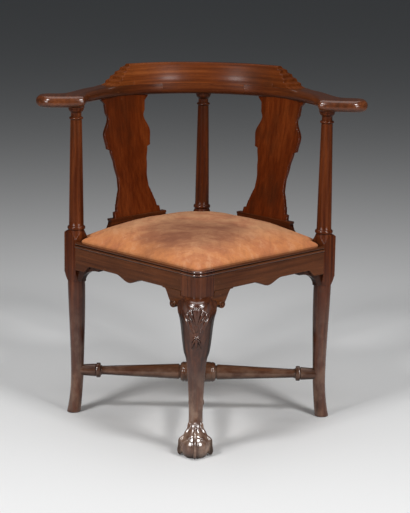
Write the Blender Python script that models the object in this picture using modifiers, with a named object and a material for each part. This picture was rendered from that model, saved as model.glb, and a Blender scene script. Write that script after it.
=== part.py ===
"""Mahogany corner armchair with a leather drop-in seat, in metres, +Z up.

The seat is a square set corner to the front. Rails, posts and the drop-in seat are drawn in
the square's own axes, which are turned 45 degrees; arms, crest and stretchers are drawn in the
chair's axes, +X to the sitter's left as seen from the front and -Y to the front.
"""
from math import cos, hypot, inf, pi, radians, sin, sqrt

import bmesh
import bpy
from mathutils import Matrix, Vector

# Fits
CLEARANCE = 0.0003
SEAT_GAP = 0.0015

# Main places
HALF_DIAGONAL = 0.290
RAIL_TOP = 0.420
ARM_UNDERSIDE = 0.735
STRETCHER_HEIGHT = 0.1035

# Corner posts: outswept leg, square block, turned column
BLOCK_SIDE = 0.040
BLOCK_RISE = 0.006
BLOCK_DROP = 0.075
UPPER_BROACH = 0.020
LOWER_BROACH = 0.022
LEG_TOP_D = 0.041
ANKLE_D = 0.0295
LEG_FOOT_D = 0.033
ANKLE_HEIGHT = 0.060
OUTSWEEP = 0.007
SWEEP_HEIGHT = 0.100
LEG_INSET = 0.002
BASE_RING_D = 0.042
BASE_RING_HEIGHT = 0.009
COLUMN_BOTTOM_D = 0.0345
COLUMN_TOP_D = 0.0277
ASTRAGAL_D = 0.0315
ASTRAGAL_HEIGHT = 0.007
NECK_D = 0.026
NECK_HEIGHT = 0.012
CAPITAL_D = 0.038
CAPITAL_HEIGHT = 0.012
POST_TENON_D = 0.020
POST_TENON_LENGTH = 0.016
POST_SIDES = 16

# Front leg: cabriole with a claw-and-ball foot
FRONT_BLOCK_SIDE = 0.052
FRONT_CORNER_RADIUS = 0.014
KNEE_DROP = 0.058
KNEE_BLOCK_DROP = 0.102
PAW_END = 0.043
BALL_D = 0.063
BALL_HEIGHT = 0.0545
BALL_MIDDLE = 0.0215
FOOT_OUT = 0.0185
FRONT_LEG_SIDES = 24
FRONT_LEG_RINGS = 24
CLAW_SIDES = 8
# Share of the way down from the knee, width, front and back from the post line, squareness
FRONT_LEG_STATIONS = (
    (0.000, 0.070, 0.028, -0.028, 4.2),
    (0.053, 0.086, 0.046, -0.034, 4.2),
    (0.1165, 0.089, 0.051, -0.034, 4.0),
    (0.273, 0.071, 0.043, -0.026, 3.6),
    (0.4456, 0.051, 0.028, -0.024, 3.2),
    (0.602, 0.0375, 0.020, -0.018, 2.8),
    (0.802, 0.0316, 0.0195, -0.0115, 2.3),
    (0.9095, 0.0325, 0.0250, -0.0070, 2.1),
    (0.9524, 0.0380, 0.0330, -0.0040, 2.0),
    (0.9749, 0.0445, 0.0400, -0.0040, 2.0),
    (0.9906, 0.0500, 0.0433, -0.0062, 2.0),
    (1.000, 0.0525, 0.0446, -0.0075, 2.0),
)
SHELL_DROP = 0.118
HUSK_DROP = 0.139
CARVING_RELIEF = 0.45
CARVING_SIDES = 8
# Degrees from upright, length and half width of the shell's lobes and the husk's drops
SHELL_LOBES = (
    (0, 0.0490, 0.0056),
    (18, 0.0480, 0.0056),
    (37, 0.0410, 0.0052),
    (57, 0.0360, 0.0046),
    (78, 0.0330, 0.0038),
)
HUSK_DROPS = ((180, 0.0290, 0.0038), (152, 0.0210, 0.0034))
# Share of a lobe's length, and share of its half width there
LOBE_STATIONS = ((0.04, 0.20), (0.30, 0.48), (0.60, 0.82), (0.84, 1.00), (0.95, 0.80), (1.00, 0.25))
# Share of the ball's height, and the claw's half thickness, where it lies on the leg
CLAW_ROOT = ((1.42, 0.0012), (1.25, 0.0046), (1.08, 0.0064), (0.95, 0.0070), (0.81, 0.0072))
CLAW_SUNK = 0.55
# Shares of the ball's radius and height, and the claw's half thickness, where it grips the ball
CLAW_STATIONS = (
    (0.94, 0.67, 0.0068),
    (1.03, 0.51, 0.0060),
    (1.07, 0.34, 0.0062),
    (1.075, 0.18, 0.0056),
    (1.05, 0.05, 0.0040),
)

# Seat rails
RAIL_THICKNESS = 0.026
RAIL_DEPTH = 0.051
LIP_WIDTH = 0.013
REBATE_DEPTH = 0.018
APRON_DROP = 0.013
APRON_DROP_WIDTH = 0.090
RAIL_TENON_THICKNESS = 0.010
RAIL_TENON_LENGTH = 0.018
RAIL_TENON_INSET = 0.007
RAIL_TENON_HEIGHT = 0.026
# Double bead round the rail tops: how far it stands proud, and how far below the top
LIP_MOULDING = (
    (0.0000, 0.0125),
    (0.0012, 0.0113),
    (0.0018, 0.0095),
    (0.0012, 0.0077),
    (-0.0004, 0.0066),
    (0.0008, 0.0046),
    (0.0008, 0.0016),
    (-0.0010, 0.0000),
)

# Brackets and glue blocks
KNEE_BRACKET_LENGTH = 0.054
KNEE_BRACKET_HEIGHT = 0.041
KNEE_BRACKET_SWELL = 0.0135
SCROLL_RADIUS = 0.0085
SPANDREL_LENGTH = 0.076
SPANDREL_HEIGHT = 0.042
SPANDREL_THICKNESS = 0.014
SPANDREL_LIP = 0.007
CORNER_BLOCK_LEG = 0.050
CORNER_BLOCK_HEIGHT = 0.028

# Arms and crest
ARM_WIDTH = 0.056
ARM_THICKNESS = 0.027
ARM_EDGE_RADIUS = 0.0125
ARM_TOP_RADIUS = 0.013
ARM_JOINT_ANGLE = radians(22)
ARM_DOWEL_D = 0.010
ARM_DOWEL_LENGTH = 0.018
PADDLE_REACH = 0.092
PADDLE_WIDTH = 0.074
PADDLE_SET = 0.005
CUSP_ANGLE = radians(84)
CUSP_SET = 0.022
CUSP_EASE = 0.006
CUSP_FORWARD = 0.026
ARM_SWEEP_ANGLE = radians(68)
CREST_HEIGHT = 0.049
CREST_FULL_ANGLE = radians(39)
CREST_END_ANGLE = radians(51)
CREST_STEPS = 5
CREST_SCREW_ANGLES = (radians(14), radians(34))
SCREW_D = 0.005
SCREW_HEAD_D = 0.009
SCREW_HEAD_HEIGHT = 0.003
SCREW_BITE = 0.016

# Splats and their shoes
SPLAT_THICKNESS = 0.0085
SPLAT_LET_IN = 0.008
SPLAT_INSET = 0.020
SPLAT_BEND = 1.3
SHOE_LENGTH = 0.188
SHOE_HEIGHT = 0.033
SHOE_DEPTH = 0.016
SHOE_MOULDING = 0.006
SHOE_SLOT_DEPTH = 0.020
SPLAT_RINGS_PER_CURVE = 4
# Share of the splat's height above the shoe, and half its width there
SPLAT_OUTLINE = (
    (0.000, 0.0745),
    (0.045, 0.0735),
    (0.052, 0.0655),
    (0.105, 0.0628),
    (0.112, 0.0602),
    (0.165, 0.0560),
    (0.172, 0.0538),
    (0.235, 0.0476),
    (0.310, 0.0466),
    (0.440, 0.0520),
    (0.560, 0.0590),
    (0.575, 0.0690),
    (0.690, 0.0735),
    (0.830, 0.0570),
    (0.885, 0.0625),
    (0.945, 0.0640),
    (1.000, 0.0755),
)

# Turned stretchers
BOSS_D = 0.0524
BOSS_HALF_LENGTH = 0.040
SHAFT_D = 0.0365
SHAFT_THIN_D = 0.0215
STRETCHER_RING_D = 0.036
STRETCHER_RING_SET = 0.037
STRETCHER_END_D = 0.026
STRETCHER_TENON_D = 0.012
STRETCHER_TENON_LENGTH = 0.015
STRETCHER_SIDES = 16

# Drop-in seat
SEAT_LIFT = 0.140
SEAT_RAIL_WIDTH = 0.050
SEAT_RAIL_THICKNESS = 0.013
SEAT_TENON_LENGTH = 0.020
SEAT_TENON_THICKNESS = 0.005
SEAT_CORNER_RADIUS = 0.012
SEAT_CROWN = 0.050
LEATHER = 0.0018
LEATHER_TURN_IN = 0.028
WEBBING_WIDTH = 0.050
WEBBING_PITCH = 0.105
WEBBING_THICKNESS = 0.0015
CLOTH_THICKNESS = 0.0010
CLOTH_INSET = 0.006
SEAT_SIDE_POINTS = 9
SEAT_RINGS = 9

# Worked out from the sizes above
HALF_SIDE = HALF_DIAGONAL / sqrt(2)
RAIL_OUT = BLOCK_SIDE / 2
OUTER_FACE = HALF_SIDE + RAIL_OUT
INNER_FACE = OUTER_FACE - RAIL_THICKNESS
FRONT_BLOCK_IN = FRONT_BLOCK_SIDE - RAIL_OUT
REBATE = RAIL_TOP - REBATE_DEPTH
RAIL_BOTTOM = RAIL_TOP - RAIL_DEPTH
BLOCK_TOP = RAIL_TOP + BLOCK_RISE
BLOCK_BOTTOM = RAIL_TOP - BLOCK_DROP
LEG_TOP = BLOCK_BOTTOM - LOWER_BROACH
COLUMN_BASE = BLOCK_TOP + UPPER_BROACH
KNEE_TOP = RAIL_TOP - KNEE_DROP
ARM_TOP = ARM_UNDERSIDE + ARM_THICKNESS
ARM_INNER = HALF_DIAGONAL - ARM_WIDTH / 2
ARM_OUTER = HALF_DIAGONAL + ARM_WIDTH / 2
CREST_BASE = ARM_TOP + CLEARANCE
FOOT_AXIS = HALF_DIAGONAL + FOOT_OUT
CLAW_REACH = max(share * BALL_D / 2 + half for share, _, half in CLAW_STATIONS)
CENTRE_SHIFT = (FOOT_AXIS + CLAW_REACH - ARM_OUTER) / 2
SHOE_BASE = RAIL_TOP + CLEARANCE
SHOE_TOP = SHOE_BASE + SHOE_HEIGHT
SHOE_INNER = OUTER_FACE - LIP_WIDTH + CLEARANCE
SPLAT_FOOT = SHOE_INNER + SHOE_DEPTH / 2
SPLAT_HEAD = HALF_DIAGONAL - SPLAT_INSET
SEAT_OUTER = OUTER_FACE - LIP_WIDTH - SEAT_GAP
SEAT_NOTCH = HALF_SIDE - BLOCK_SIDE / 2 - SEAT_GAP
SEAT_BASE = REBATE + CLEARANCE
SEAT_FRAME_BOTTOM = SEAT_BASE + LEATHER + CLEARANCE
SEAT_FRAME_TOP = SEAT_FRAME_BOTTOM + SEAT_RAIL_THICKNESS
LOWER_WEB = SEAT_FRAME_TOP + CLEARANCE
UPPER_WEB = LOWER_WEB + WEBBING_THICKNESS / 2
CLOTH_BOTTOM = UPPER_WEB + WEBBING_THICKNESS + CLEARANCE
PAD_BOTTOM = CLOTH_BOTTOM + CLOTH_THICKNESS + CLEARANCE
SEAT_EDGE = PAD_BOTTOM + LEATHER + CLEARANCE
FRAME_INSET = LEATHER + CLEARANCE
PASS = 0.010
SHARP_ANGLE = radians(32)

ROUND = 2.0
SQUARE = inf
CORNERS = {"left": (-1, -1), "rear": (-1, 1), "right": (1, 1), "front": (1, -1)}
RAIL_TURNS = {
    "rear_right": 0.0,
    "rear_left": radians(90),
    "front_left": radians(180),
    "front_right": radians(-90),
}

# Finishes: colour, roughness, metallic
MAHOGANY = ((0.160, 0.052, 0.022), 0.32, 0.0)
BEECH = ((0.480, 0.330, 0.190), 0.60, 0.0)
JUTE = ((0.420, 0.320, 0.200), 0.90, 0.0)
HESSIAN = ((0.500, 0.420, 0.290), 0.90, 0.0)
HAIR = ((0.180, 0.140, 0.110), 0.95, 0.0)
TAN_LEATHER = ((0.560, 0.250, 0.120), 0.50, 0.0)
IRON = ((0.080, 0.075, 0.070), 0.45, 1.0)


# Scene, placing and Boolean work

def start_scene():
    """Empty the scene and make the collections and the axes that pieces hang from."""
    for obj in list(bpy.data.objects):
        bpy.data.objects.remove(obj)
    groups = {}
    for name in ("corner_armchair", "corner_armchair_cutters"):
        groups[name] = bpy.data.collections.new(name)
        bpy.context.scene.collection.children.link(groups[name])
    axes = {}
    for name, parent, place, turn in (
        ("chair", None, (0, CENTRE_SHIFT, 0), 0),
        ("square", "chair", (0, 0, 0), radians(-45)),
        ("drop_in_seat", "square", (0, 0, SEAT_BASE), 0),
    ):
        empty = bpy.data.objects.new(name + "_axes", None)
        groups["corner_armchair"].objects.link(empty)
        empty.location = place
        empty.rotation_euler = (0, 0, turn)
        empty.parent = axes.get(parent)
        axes[name] = empty
    for name, turn in RAIL_TURNS.items():
        empty = bpy.data.objects.new(name + "_rail_axes", None)
        groups["corner_armchair"].objects.link(empty)
        empty.rotation_euler = (0, 0, turn)
        empty.parent = axes["square"]
        axes[name] = empty
    return groups["corner_armchair"], groups["corner_armchair_cutters"], axes


PARTS, CUTTERS, AXES = start_scene()


def finished(obj, finish):
    """Give a piece its own material."""
    colour, roughness, metallic = finish
    material = bpy.data.materials.new(obj.name + "_finish")
    material.use_nodes = True
    shader = material.node_tree.nodes["Principled BSDF"]
    shader.inputs["Base Color"].default_value = (*colour, 1)
    shader.inputs["Roughness"].default_value = roughness
    shader.inputs["Metallic"].default_value = metallic
    obj.data.materials.append(material)
    return obj


def placed(name, mesh, axes="square"):
    """Put a mesh into the chair on one of its sets of axes."""
    obj = bpy.data.objects.new(name, mesh)
    PARTS.objects.link(obj)
    obj.parent = AXES[axes]
    return obj


def as_tool(obj):
    """Move a shape to the cutters, where it shapes pieces and is none itself."""
    PARTS.objects.unlink(obj)
    CUTTERS.objects.link(obj)
    obj.hide_render = True
    obj.display_type = "WIRE"
    return obj


def shaped(target, tool, operation):
    """Cut a tool from a piece, or join it on."""
    if tool.name not in CUTTERS.objects:
        as_tool(tool)
    modifier = target.modifiers.new(tool.name, "BOOLEAN")
    modifier.operation = operation
    modifier.object = tool


def cut(target, *tools):
    """Cut tools out of a piece."""
    for tool in tools:
        shaped(target, tool, "DIFFERENCE")


def join(target, *tools):
    """Join shapes to a piece as one solid."""
    for tool in tools:
        shaped(target, tool, "UNION")


# Shapes

def mesh_from(name, bm):
    """Close a bmesh into a mesh with its faces pointing out, smooth but for its crisp arrises."""
    bmesh.ops.recalc_face_normals(bm, faces=bm.faces)
    mesh = bpy.data.meshes.new(name)
    bm.to_mesh(mesh)
    bm.free()
    mesh.shade_smooth()
    mesh.set_sharp_from_angle(angle=SHARP_ANGLE)
    return mesh


def add_loft(bm, rings):
    """Skin a row of rings that have the same number of points, with both ends closed."""
    rows = [[bm.verts.new(point) for point in ring] for ring in rings]
    for lower, upper in zip(rows, rows[1:]):
        for i, corner in enumerate(lower):
            j = (i + 1) % len(lower)
            bm.faces.new((corner, lower[j], upper[j], upper[i]))
    bm.faces.new(rows[0][::-1])
    bm.faces.new(rows[-1])


def loft(name, rings, axes="square"):
    """A piece skinned over sections that differ."""
    bm = bmesh.new()
    add_loft(bm, rings)
    return placed(name, mesh_from(name, bm), axes)


def box(name, low, high, axes="square"):
    """A rectangular block between two corners."""
    bm = bmesh.new()
    bmesh.ops.create_cube(bm, size=1)
    size = Vector(high) - Vector(low)
    middle = (Vector(high) + Vector(low)) / 2
    bmesh.ops.transform(bm, matrix=Matrix.Translation(middle) @ Matrix.Diagonal((*size, 1)), verts=bm.verts)
    return placed(name, mesh_from(name, bm), axes)


def rod(name, start, end, radius, axes="chair", sides=STRETCHER_SIDES):
    """A round bar between two points."""
    run = Vector(end) - Vector(start)
    bm = bmesh.new()
    bmesh.ops.create_cone(
        bm, cap_ends=True, segments=sides, radius1=radius, radius2=radius, depth=run.length
    )
    turn = run.to_track_quat("Z", "Y").to_matrix().to_4x4()
    middle = (Vector(start) + Vector(end)) / 2
    bmesh.ops.transform(bm, matrix=Matrix.Translation(middle) @ turn, verts=bm.verts)
    return placed(name, mesh_from(name, bm), axes)


def board(name, outline, thickness, axes="square"):
    """A flat outline in X and Y, extruded to a thickness centred on its own plane."""
    curve = bpy.data.curves.new(name + "_outline", "CURVE")
    curve.dimensions = "2D"
    curve.fill_mode = "BOTH"
    curve.extrude = thickness / 2
    spline = curve.splines.new("POLY")
    spline.points.add(len(outline) - 1)
    for point, (x, y) in zip(spline.points, outline):
        point.co = (x, y, 0, 1)
    spline.use_cyclic_u = True
    drawn = bpy.data.objects.new(name + "_outline", curve)
    PARTS.objects.link(drawn)
    graph = bpy.context.evaluated_depsgraph_get()
    mesh = bpy.data.meshes.new_from_object(drawn.evaluated_get(graph))
    bpy.data.objects.remove(drawn)
    bm = bmesh.new()
    bm.from_mesh(mesh)
    bpy.data.meshes.remove(mesh)
    bmesh.ops.remove_doubles(bm, verts=bm.verts, dist=1e-6)
    return placed(name, mesh_from(name, bm), axes)


def lying_board(name, outline, low, high, axes="square"):
    """A board whose outline is a plan, between two heights."""
    obj = board(name, outline, high - low, axes)
    obj.location.z = (low + high) / 2
    return obj


def standing_board(name, outline, near, far, axes):
    """A board whose outline is an elevation in X and Z, between two places along Y."""
    obj = board(name, outline, far - near, axes)
    obj.rotation_euler.x = pi / 2
    obj.location.y = (near + far) / 2
    return obj


def turned(name, profile, sides, axes="chair"):
    """A turned piece from (radius, height) pairs that run from its top to its bottom."""
    mesh = bpy.data.meshes.new(name)
    edges = [(i, i + 1) for i in range(len(profile) - 1)]
    mesh.from_pydata([(radius, 0, height) for radius, height in profile], edges, [])
    obj = placed(name, mesh, axes)
    screw = obj.modifiers.new("turning", "SCREW")
    screw.steps = sides
    screw.render_steps = sides
    screw.use_smooth_shade = True
    screw.use_merge_vertices = True
    screw.merge_threshold = 0.00001
    return obj


# Curves and sections

def smooth(share):
    """Ease a share from 0 to 1."""
    share = min(max(share, 0), 1)
    return share * share * (3 - 2 * share)


def through(stations, place):
    """Smooth values at a place, through rows that each start with their own place."""
    last = len(stations) - 1
    index = 0
    while index < last - 1 and place > stations[index + 1][0]:
        index += 1
    before = stations[max(index - 1, 0)]
    here = stations[index]
    there = stations[index + 1]
    after = stations[min(index + 2, last)]
    span = there[0] - here[0]
    t = (place - here[0]) / span
    values = []
    for k in range(1, len(here)):
        leaving = (there[k] - before[k]) / (there[0] - before[0]) * span
        arriving = (after[k] - here[k]) / (after[0] - here[0]) * span
        rise = (2 * t**3 - 3 * t**2 + 1) * here[k] + (3 * t**2 - 2 * t**3) * there[k]
        values.append(rise + (t**3 - 2 * t**2 + t) * leaving + (t**3 - t**2) * arriving)
    return values


def bezier(start, leave, arrive, end, share):
    """A point on a cubic curve."""
    rest = 1 - share
    weights = (rest**3, 3 * rest**2 * share, 3 * rest * share**2, share**3)
    total = Vector((0, 0))
    for weight, point in zip(weights, (start, leave, arrive, end)):
        total += weight * Vector(point)
    return total


def section(exponent, count):
    """A round-to-square section of half size 1, with a point at each 45 degree corner."""
    points = []
    for i in range(count):
        c, s = cos(2 * pi * i / count), sin(2 * pi * i / count)
        if exponent == SQUARE:
            reach = 1 / max(abs(c), abs(s))
        else:
            reach = (abs(c) ** exponent + abs(s) ** exponent) ** (-1 / exponent)
        points.append((reach * c, reach * s))
    return points


def rounded_section(width, height, low_radius, high_radius, steps=3):
    """A rectangle across and up from its own base, with its low and high corners rounded."""
    limit = min(width, height) * 0.48
    points = []
    for side, level, radius, start in (
        (1, 0, low_radius, -pi / 2),
        (1, 1, high_radius, 0),
        (-1, 1, high_radius, pi / 2),
        (-1, 0, low_radius, pi),
    ):
        radius = min(radius, limit)
        middle_x = side * (width / 2 - radius)
        middle_z = height - radius if level else radius
        for step in range(steps + 1):
            angle = start + pi / 2 * step / steps
            points.append((middle_x + radius * cos(angle), middle_z + radius * sin(angle)))
    return points


# Corner posts

def leg_diameter(height):
    """Thickness of an outswept leg at a height."""
    rise = smooth((height - ANKLE_HEIGHT) / (LEG_TOP - ANKLE_HEIGHT))
    flare = max(1 - height / ANKLE_HEIGHT, 0) ** 2
    return ANKLE_D + (LEG_TOP_D - ANKLE_D) * rise + (LEG_FOOT_D - ANKLE_D) * flare


def leg_shift(height):
    """How far outwards a leg's middle lies from its post line at a height."""
    sweep = max(1 - height / SWEEP_HEIGHT, 0) ** 2
    return OUTSWEEP * sweep - LEG_INSET * sin(pi * min(height / LEG_TOP, 1))


def post_rows():
    """Heights, half sizes, squareness and outward shift of a post's sections, from the floor up."""
    rows = []
    leg_rings = 8
    for i in range(leg_rings + 1):
        height = LEG_TOP * (i / leg_rings) ** 1.3
        rows.append((height, leg_diameter(height) / 2, ROUND, leg_shift(height)))
    half = BLOCK_SIDE / 2
    rows.append((LEG_TOP + LOWER_BROACH * 0.5, half, 3.0, 0))
    rows.append((BLOCK_BOTTOM, half, SQUARE, 0))
    rows.append((BLOCK_TOP, half, SQUARE, 0))
    rows.append((BLOCK_TOP + UPPER_BROACH * 0.5, half, 3.0, 0))
    base_groove = COLUMN_BOTTOM_D / 2 + (BASE_RING_D - COLUMN_BOTTOM_D) / 4
    rows.append((COLUMN_BASE, base_groove, ROUND, 0))
    rows.append((COLUMN_BASE + BASE_RING_HEIGHT * 0.3, BASE_RING_D / 2, ROUND, 0))
    rows.append((COLUMN_BASE + BASE_RING_HEIGHT * 0.7, BASE_RING_D / 2, ROUND, 0))
    rows.append((COLUMN_BASE + BASE_RING_HEIGHT, base_groove, ROUND, 0))
    column_start = COLUMN_BASE + BASE_RING_HEIGHT * 1.3
    neck = ARM_UNDERSIDE - CAPITAL_HEIGHT - NECK_HEIGHT
    column_end = neck - ASTRAGAL_HEIGHT
    column_rings = 4
    for i in range(column_rings + 1):
        share = i / column_rings
        diameter = COLUMN_BOTTOM_D + (COLUMN_TOP_D - COLUMN_BOTTOM_D) * share**1.2
        rows.append((column_start + (column_end - column_start) * share, diameter / 2, ROUND, 0))
    rows.append((column_end + ASTRAGAL_HEIGHT * 0.3, ASTRAGAL_D / 2, ROUND, 0))
    rows.append((column_end + ASTRAGAL_HEIGHT * 0.7, ASTRAGAL_D / 2, ROUND, 0))
    rows.append((neck, NECK_D / 2, ROUND, 0))
    shoulder = ARM_UNDERSIDE - CLEARANCE
    capital_start = ARM_UNDERSIDE - CAPITAL_HEIGHT
    rows.append((capital_start, NECK_D / 2 + 0.001, ROUND, 0))
    rows.append((capital_start + CAPITAL_HEIGHT * 0.55, (NECK_D + CAPITAL_D * 3) / 8, ROUND, 0))
    rows.append((capital_start + CAPITAL_HEIGHT * 0.8, CAPITAL_D / 2, ROUND, 0))
    rows.append((shoulder, CAPITAL_D / 2, ROUND, 0))
    rows.append((shoulder, POST_TENON_D / 2, ROUND, 0))
    rows.append((ARM_UNDERSIDE + POST_TENON_LENGTH, POST_TENON_D / 2, ROUND, 0))
    return rows


def post_rings(corner, rows, grow):
    """A post's sections in the square's axes, grown by a clearance where they cut."""
    side_p, side_q = CORNERS[corner]
    rings = []
    for height, half, exponent, shift in rows:
        middle_p = side_p * (HALF_SIDE + shift / sqrt(2))
        middle_q = side_q * (HALF_SIDE + shift / sqrt(2))
        half += grow
        ring = [(middle_p + half * x, middle_q + half * y, height) for x, y in section(exponent, POST_SIDES)]
        rings.append(ring)
    return rings


def corner_post(corner):
    """One post, from its outswept foot to the tenon under the arm."""
    return finished(loft(corner + "_post", post_rings(corner, post_rows(), 0)), MAHOGANY)


# Front leg

def front_leg_station(height):
    """Width, front, back and squareness of the cabriole leg at a height."""
    return through(FRONT_LEG_STATIONS, (KNEE_TOP - height) / (KNEE_TOP - PAW_END))


def front_point(across, out, height):
    """A point of the front leg, from the chair's axes to the square's axes."""
    return ((across + out) / sqrt(2), (across - out) / sqrt(2), height)


def front_block_ring(height, proud):
    """The front block's plan at a height, with its outer faces standing proud."""
    inner = HALF_SIDE - FRONT_BLOCK_IN
    outer = OUTER_FACE + proud
    middle = OUTER_FACE - FRONT_CORNER_RADIUS
    radius = FRONT_CORNER_RADIUS + proud
    steps = 4
    ring = [(inner, -inner, height), (inner, -outer, height)]
    for step in range(steps + 1):
        angle = -pi / 2 + pi / 2 * step / steps
        ring.append((middle + radius * cos(angle), -middle + radius * sin(angle), height))
    ring.append((outer, -inner, height))
    return ring


def front_block():
    """The leg's square head, with the rail moulding carried round its rounded corner."""
    rings = [front_block_ring(RAIL_TOP - KNEE_BLOCK_DROP, 0)]
    for proud, below in LIP_MOULDING:
        rings.append(front_block_ring(RAIL_TOP - below, proud))
    head = loft("front_leg_head", rings)
    reach = OUTER_FACE - LIP_WIDTH
    cut(head, box("front_leg_rebate", (0, -reach, REBATE), (reach, 0, RAIL_TOP + PASS)))
    return head


def paw_reach(across, out, height):
    """How far the leg's surface lies from the ball's axis on one side at a height."""
    width, front, back, _ = front_leg_station(height)
    if across:
        return width / 2
    return front - FOOT_OUT if out > 0 else FOOT_OUT - back


def claw(name, across, out):
    """One claw with its knuckles and nail, down the leg and the ball on one side."""
    rings = []
    stations = []
    for share, half in CLAW_ROOT:
        height = share * BALL_HEIGHT
        stations.append((paw_reach(across, out, height) - half * CLAW_SUNK, height, half))
    for reach, share, half in CLAW_STATIONS:
        stations.append((reach * BALL_D / 2, share * BALL_HEIGHT, half))
    for i, (reach, height, half) in enumerate(stations):
        before = stations[max(i - 1, 0)]
        after = stations[min(i + 1, len(stations) - 1)]
        run = hypot(after[0] - before[0], after[1] - before[1])
        lean_out = -(after[1] - before[1]) / run
        lean_up = (after[0] - before[0]) / run
        ring = []
        for step in range(CLAW_SIDES):
            angle = 2 * pi * step / CLAW_SIDES
            away = reach + half * cos(angle) * lean_out
            beside = half * sin(angle)
            level = height + half * cos(angle) * lean_up
            ring.append(front_point(across * away - out * beside, FOOT_AXIS + out * away + across * beside, level))
        rings.append(ring)
    return loft(name, rings)


def front_leg_rings(grow):
    """The cabriole leg's sections from the knee down, grown by a clearance where they cut."""
    rings = []
    for i in range(FRONT_LEG_RINGS + 1):
        height = KNEE_TOP + (PAW_END - KNEE_TOP) * i / FRONT_LEG_RINGS
        width, front, back, exponent = front_leg_station(height)
        middle = HALF_DIAGONAL + (front + back) / 2
        corner = 2 ** (0.5 - 1 / exponent)
        ring = []
        for x, y in section(exponent, FRONT_LEG_SIDES):
            across = (x + y) / sqrt(2) / corner * (width / 2 + grow)
            out = (x - y) / sqrt(2) / corner * ((front - back) / 2 + grow)
            ring.append(front_point(across, middle + out, height))
        rings.append(ring)
    return rings


def knee_point(across, height):
    """A point on the front of the leg, at a place across and a height."""
    width, front, back, exponent = front_leg_station(height)
    corner = 2 ** (0.5 - 1 / exponent)
    sideways = min(abs(across) / (width / 2), 0.99) * corner * sqrt(2)
    low, high = 0.0, 2.0
    for _ in range(40):
        ahead = (low + high) / 2
        if abs(sideways + ahead) ** exponent + abs(sideways - ahead) ** exponent < 2**exponent:
            low = ahead
        else:
            high = ahead
    out = ahead / sqrt(2) / corner * (front - back) / 2
    return Vector((across, -(HALF_DIAGONAL + (front + back) / 2 + out), height))


def carved_lobe(name, base, degrees, length, half_width):
    """A rounded lobe of the carving, laid on the knee from its base outwards."""
    way = Vector((sin(radians(degrees)), cos(radians(degrees))))
    reach = length / 100
    rings = []
    for share, width_share in LOBE_STATIONS:
        across, height = way.x * length * share, base + way.y * length * share
        middle = knee_point(across, height)
        along = knee_point(across + way.x * reach, height + way.y * reach) - middle
        beside = knee_point(across + way.y * reach, height - way.x * reach) - middle
        normal = beside.cross(along).normalized()
        if normal.y > 0:
            normal.negate()
        side = along.cross(normal).normalized()
        half = half_width * width_share
        ring = []
        for step in range(CARVING_SIDES):
            angle = 2 * pi * step / CARVING_SIDES
            point = middle + normal * half * CARVING_RELIEF * cos(angle) + side * half * sin(angle)
            ring.append(front_point(point.x, -point.y, point.z))
        rings.append(ring)
    return loft(name, rings)


def carving():
    """The shell on the knee and the husk that hangs below it."""
    lobes = []
    for kind, drop, rows in (("shell", SHELL_DROP, SHELL_LOBES), ("husk", HUSK_DROP, HUSK_DROPS)):
        for degrees, length, half_width in rows:
            for side in (-1, 1) if degrees % 180 else (1,):
                name = f"front_leg_{kind}_{side * degrees}"
                lobes.append(carved_lobe(name, RAIL_TOP - drop, side * degrees, length, half_width))
    return lobes


def front_leg():
    """The cabriole leg: head, knee, ankle, ball and four claws as one solid."""
    leg = loft("front_leg", front_leg_rings(0))
    bm = bmesh.new()
    bmesh.ops.create_uvsphere(bm, u_segments=20, v_segments=12, radius=1)
    size = Matrix.Diagonal((BALL_D / 2, BALL_D / 2, BALL_HEIGHT - BALL_MIDDLE, 1))
    place = Matrix.Translation(front_point(0, FOOT_AXIS, BALL_MIDDLE))
    bmesh.ops.transform(bm, matrix=place @ size, verts=bm.verts)
    join(leg, front_block(), placed("front_leg_ball", mesh_from("front_leg_ball", bm)))
    for name, across, out in (("front", 0, 1), ("back", 0, -1), ("left", -1, 0), ("right", 1, 0)):
        join(leg, claw("front_leg_claw_" + name, across, out))
    join(leg, *carving())
    reach = FOOT_AXIS + BALL_D
    cut(leg, box("front_leg_floor", (0, -reach, -BALL_D), (reach, 0, 0)))
    return finished(leg, MAHOGANY)


# Seat rails and what is fixed to them

def rail_tenon(side, block_in, grow):
    """Corners of a rail's tenon or, grown by the clearance, of its mortise."""
    shoulder = HALF_SIDE - block_in
    outer = OUTER_FACE - RAIL_TENON_INSET
    top = REBATE - RAIL_TENON_INSET / 2
    start = shoulder - PASS
    end = shoulder + RAIL_TENON_LENGTH + grow
    low = (min(side * start, side * end), outer - RAIL_TENON_THICKNESS - grow, top - RAIL_TENON_HEIGHT - grow)
    high = (max(side * start, side * end), outer + grow, top + grow)
    return low, high


def apron_height(place):
    """The lower edge of a shaped rail, with its drop at mid length."""
    share = min(abs(place) / (APRON_DROP_WIDTH / 2), 1)
    return RAIL_BOTTOM - APRON_DROP * (1 + cos(pi * share)) / 2


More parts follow.
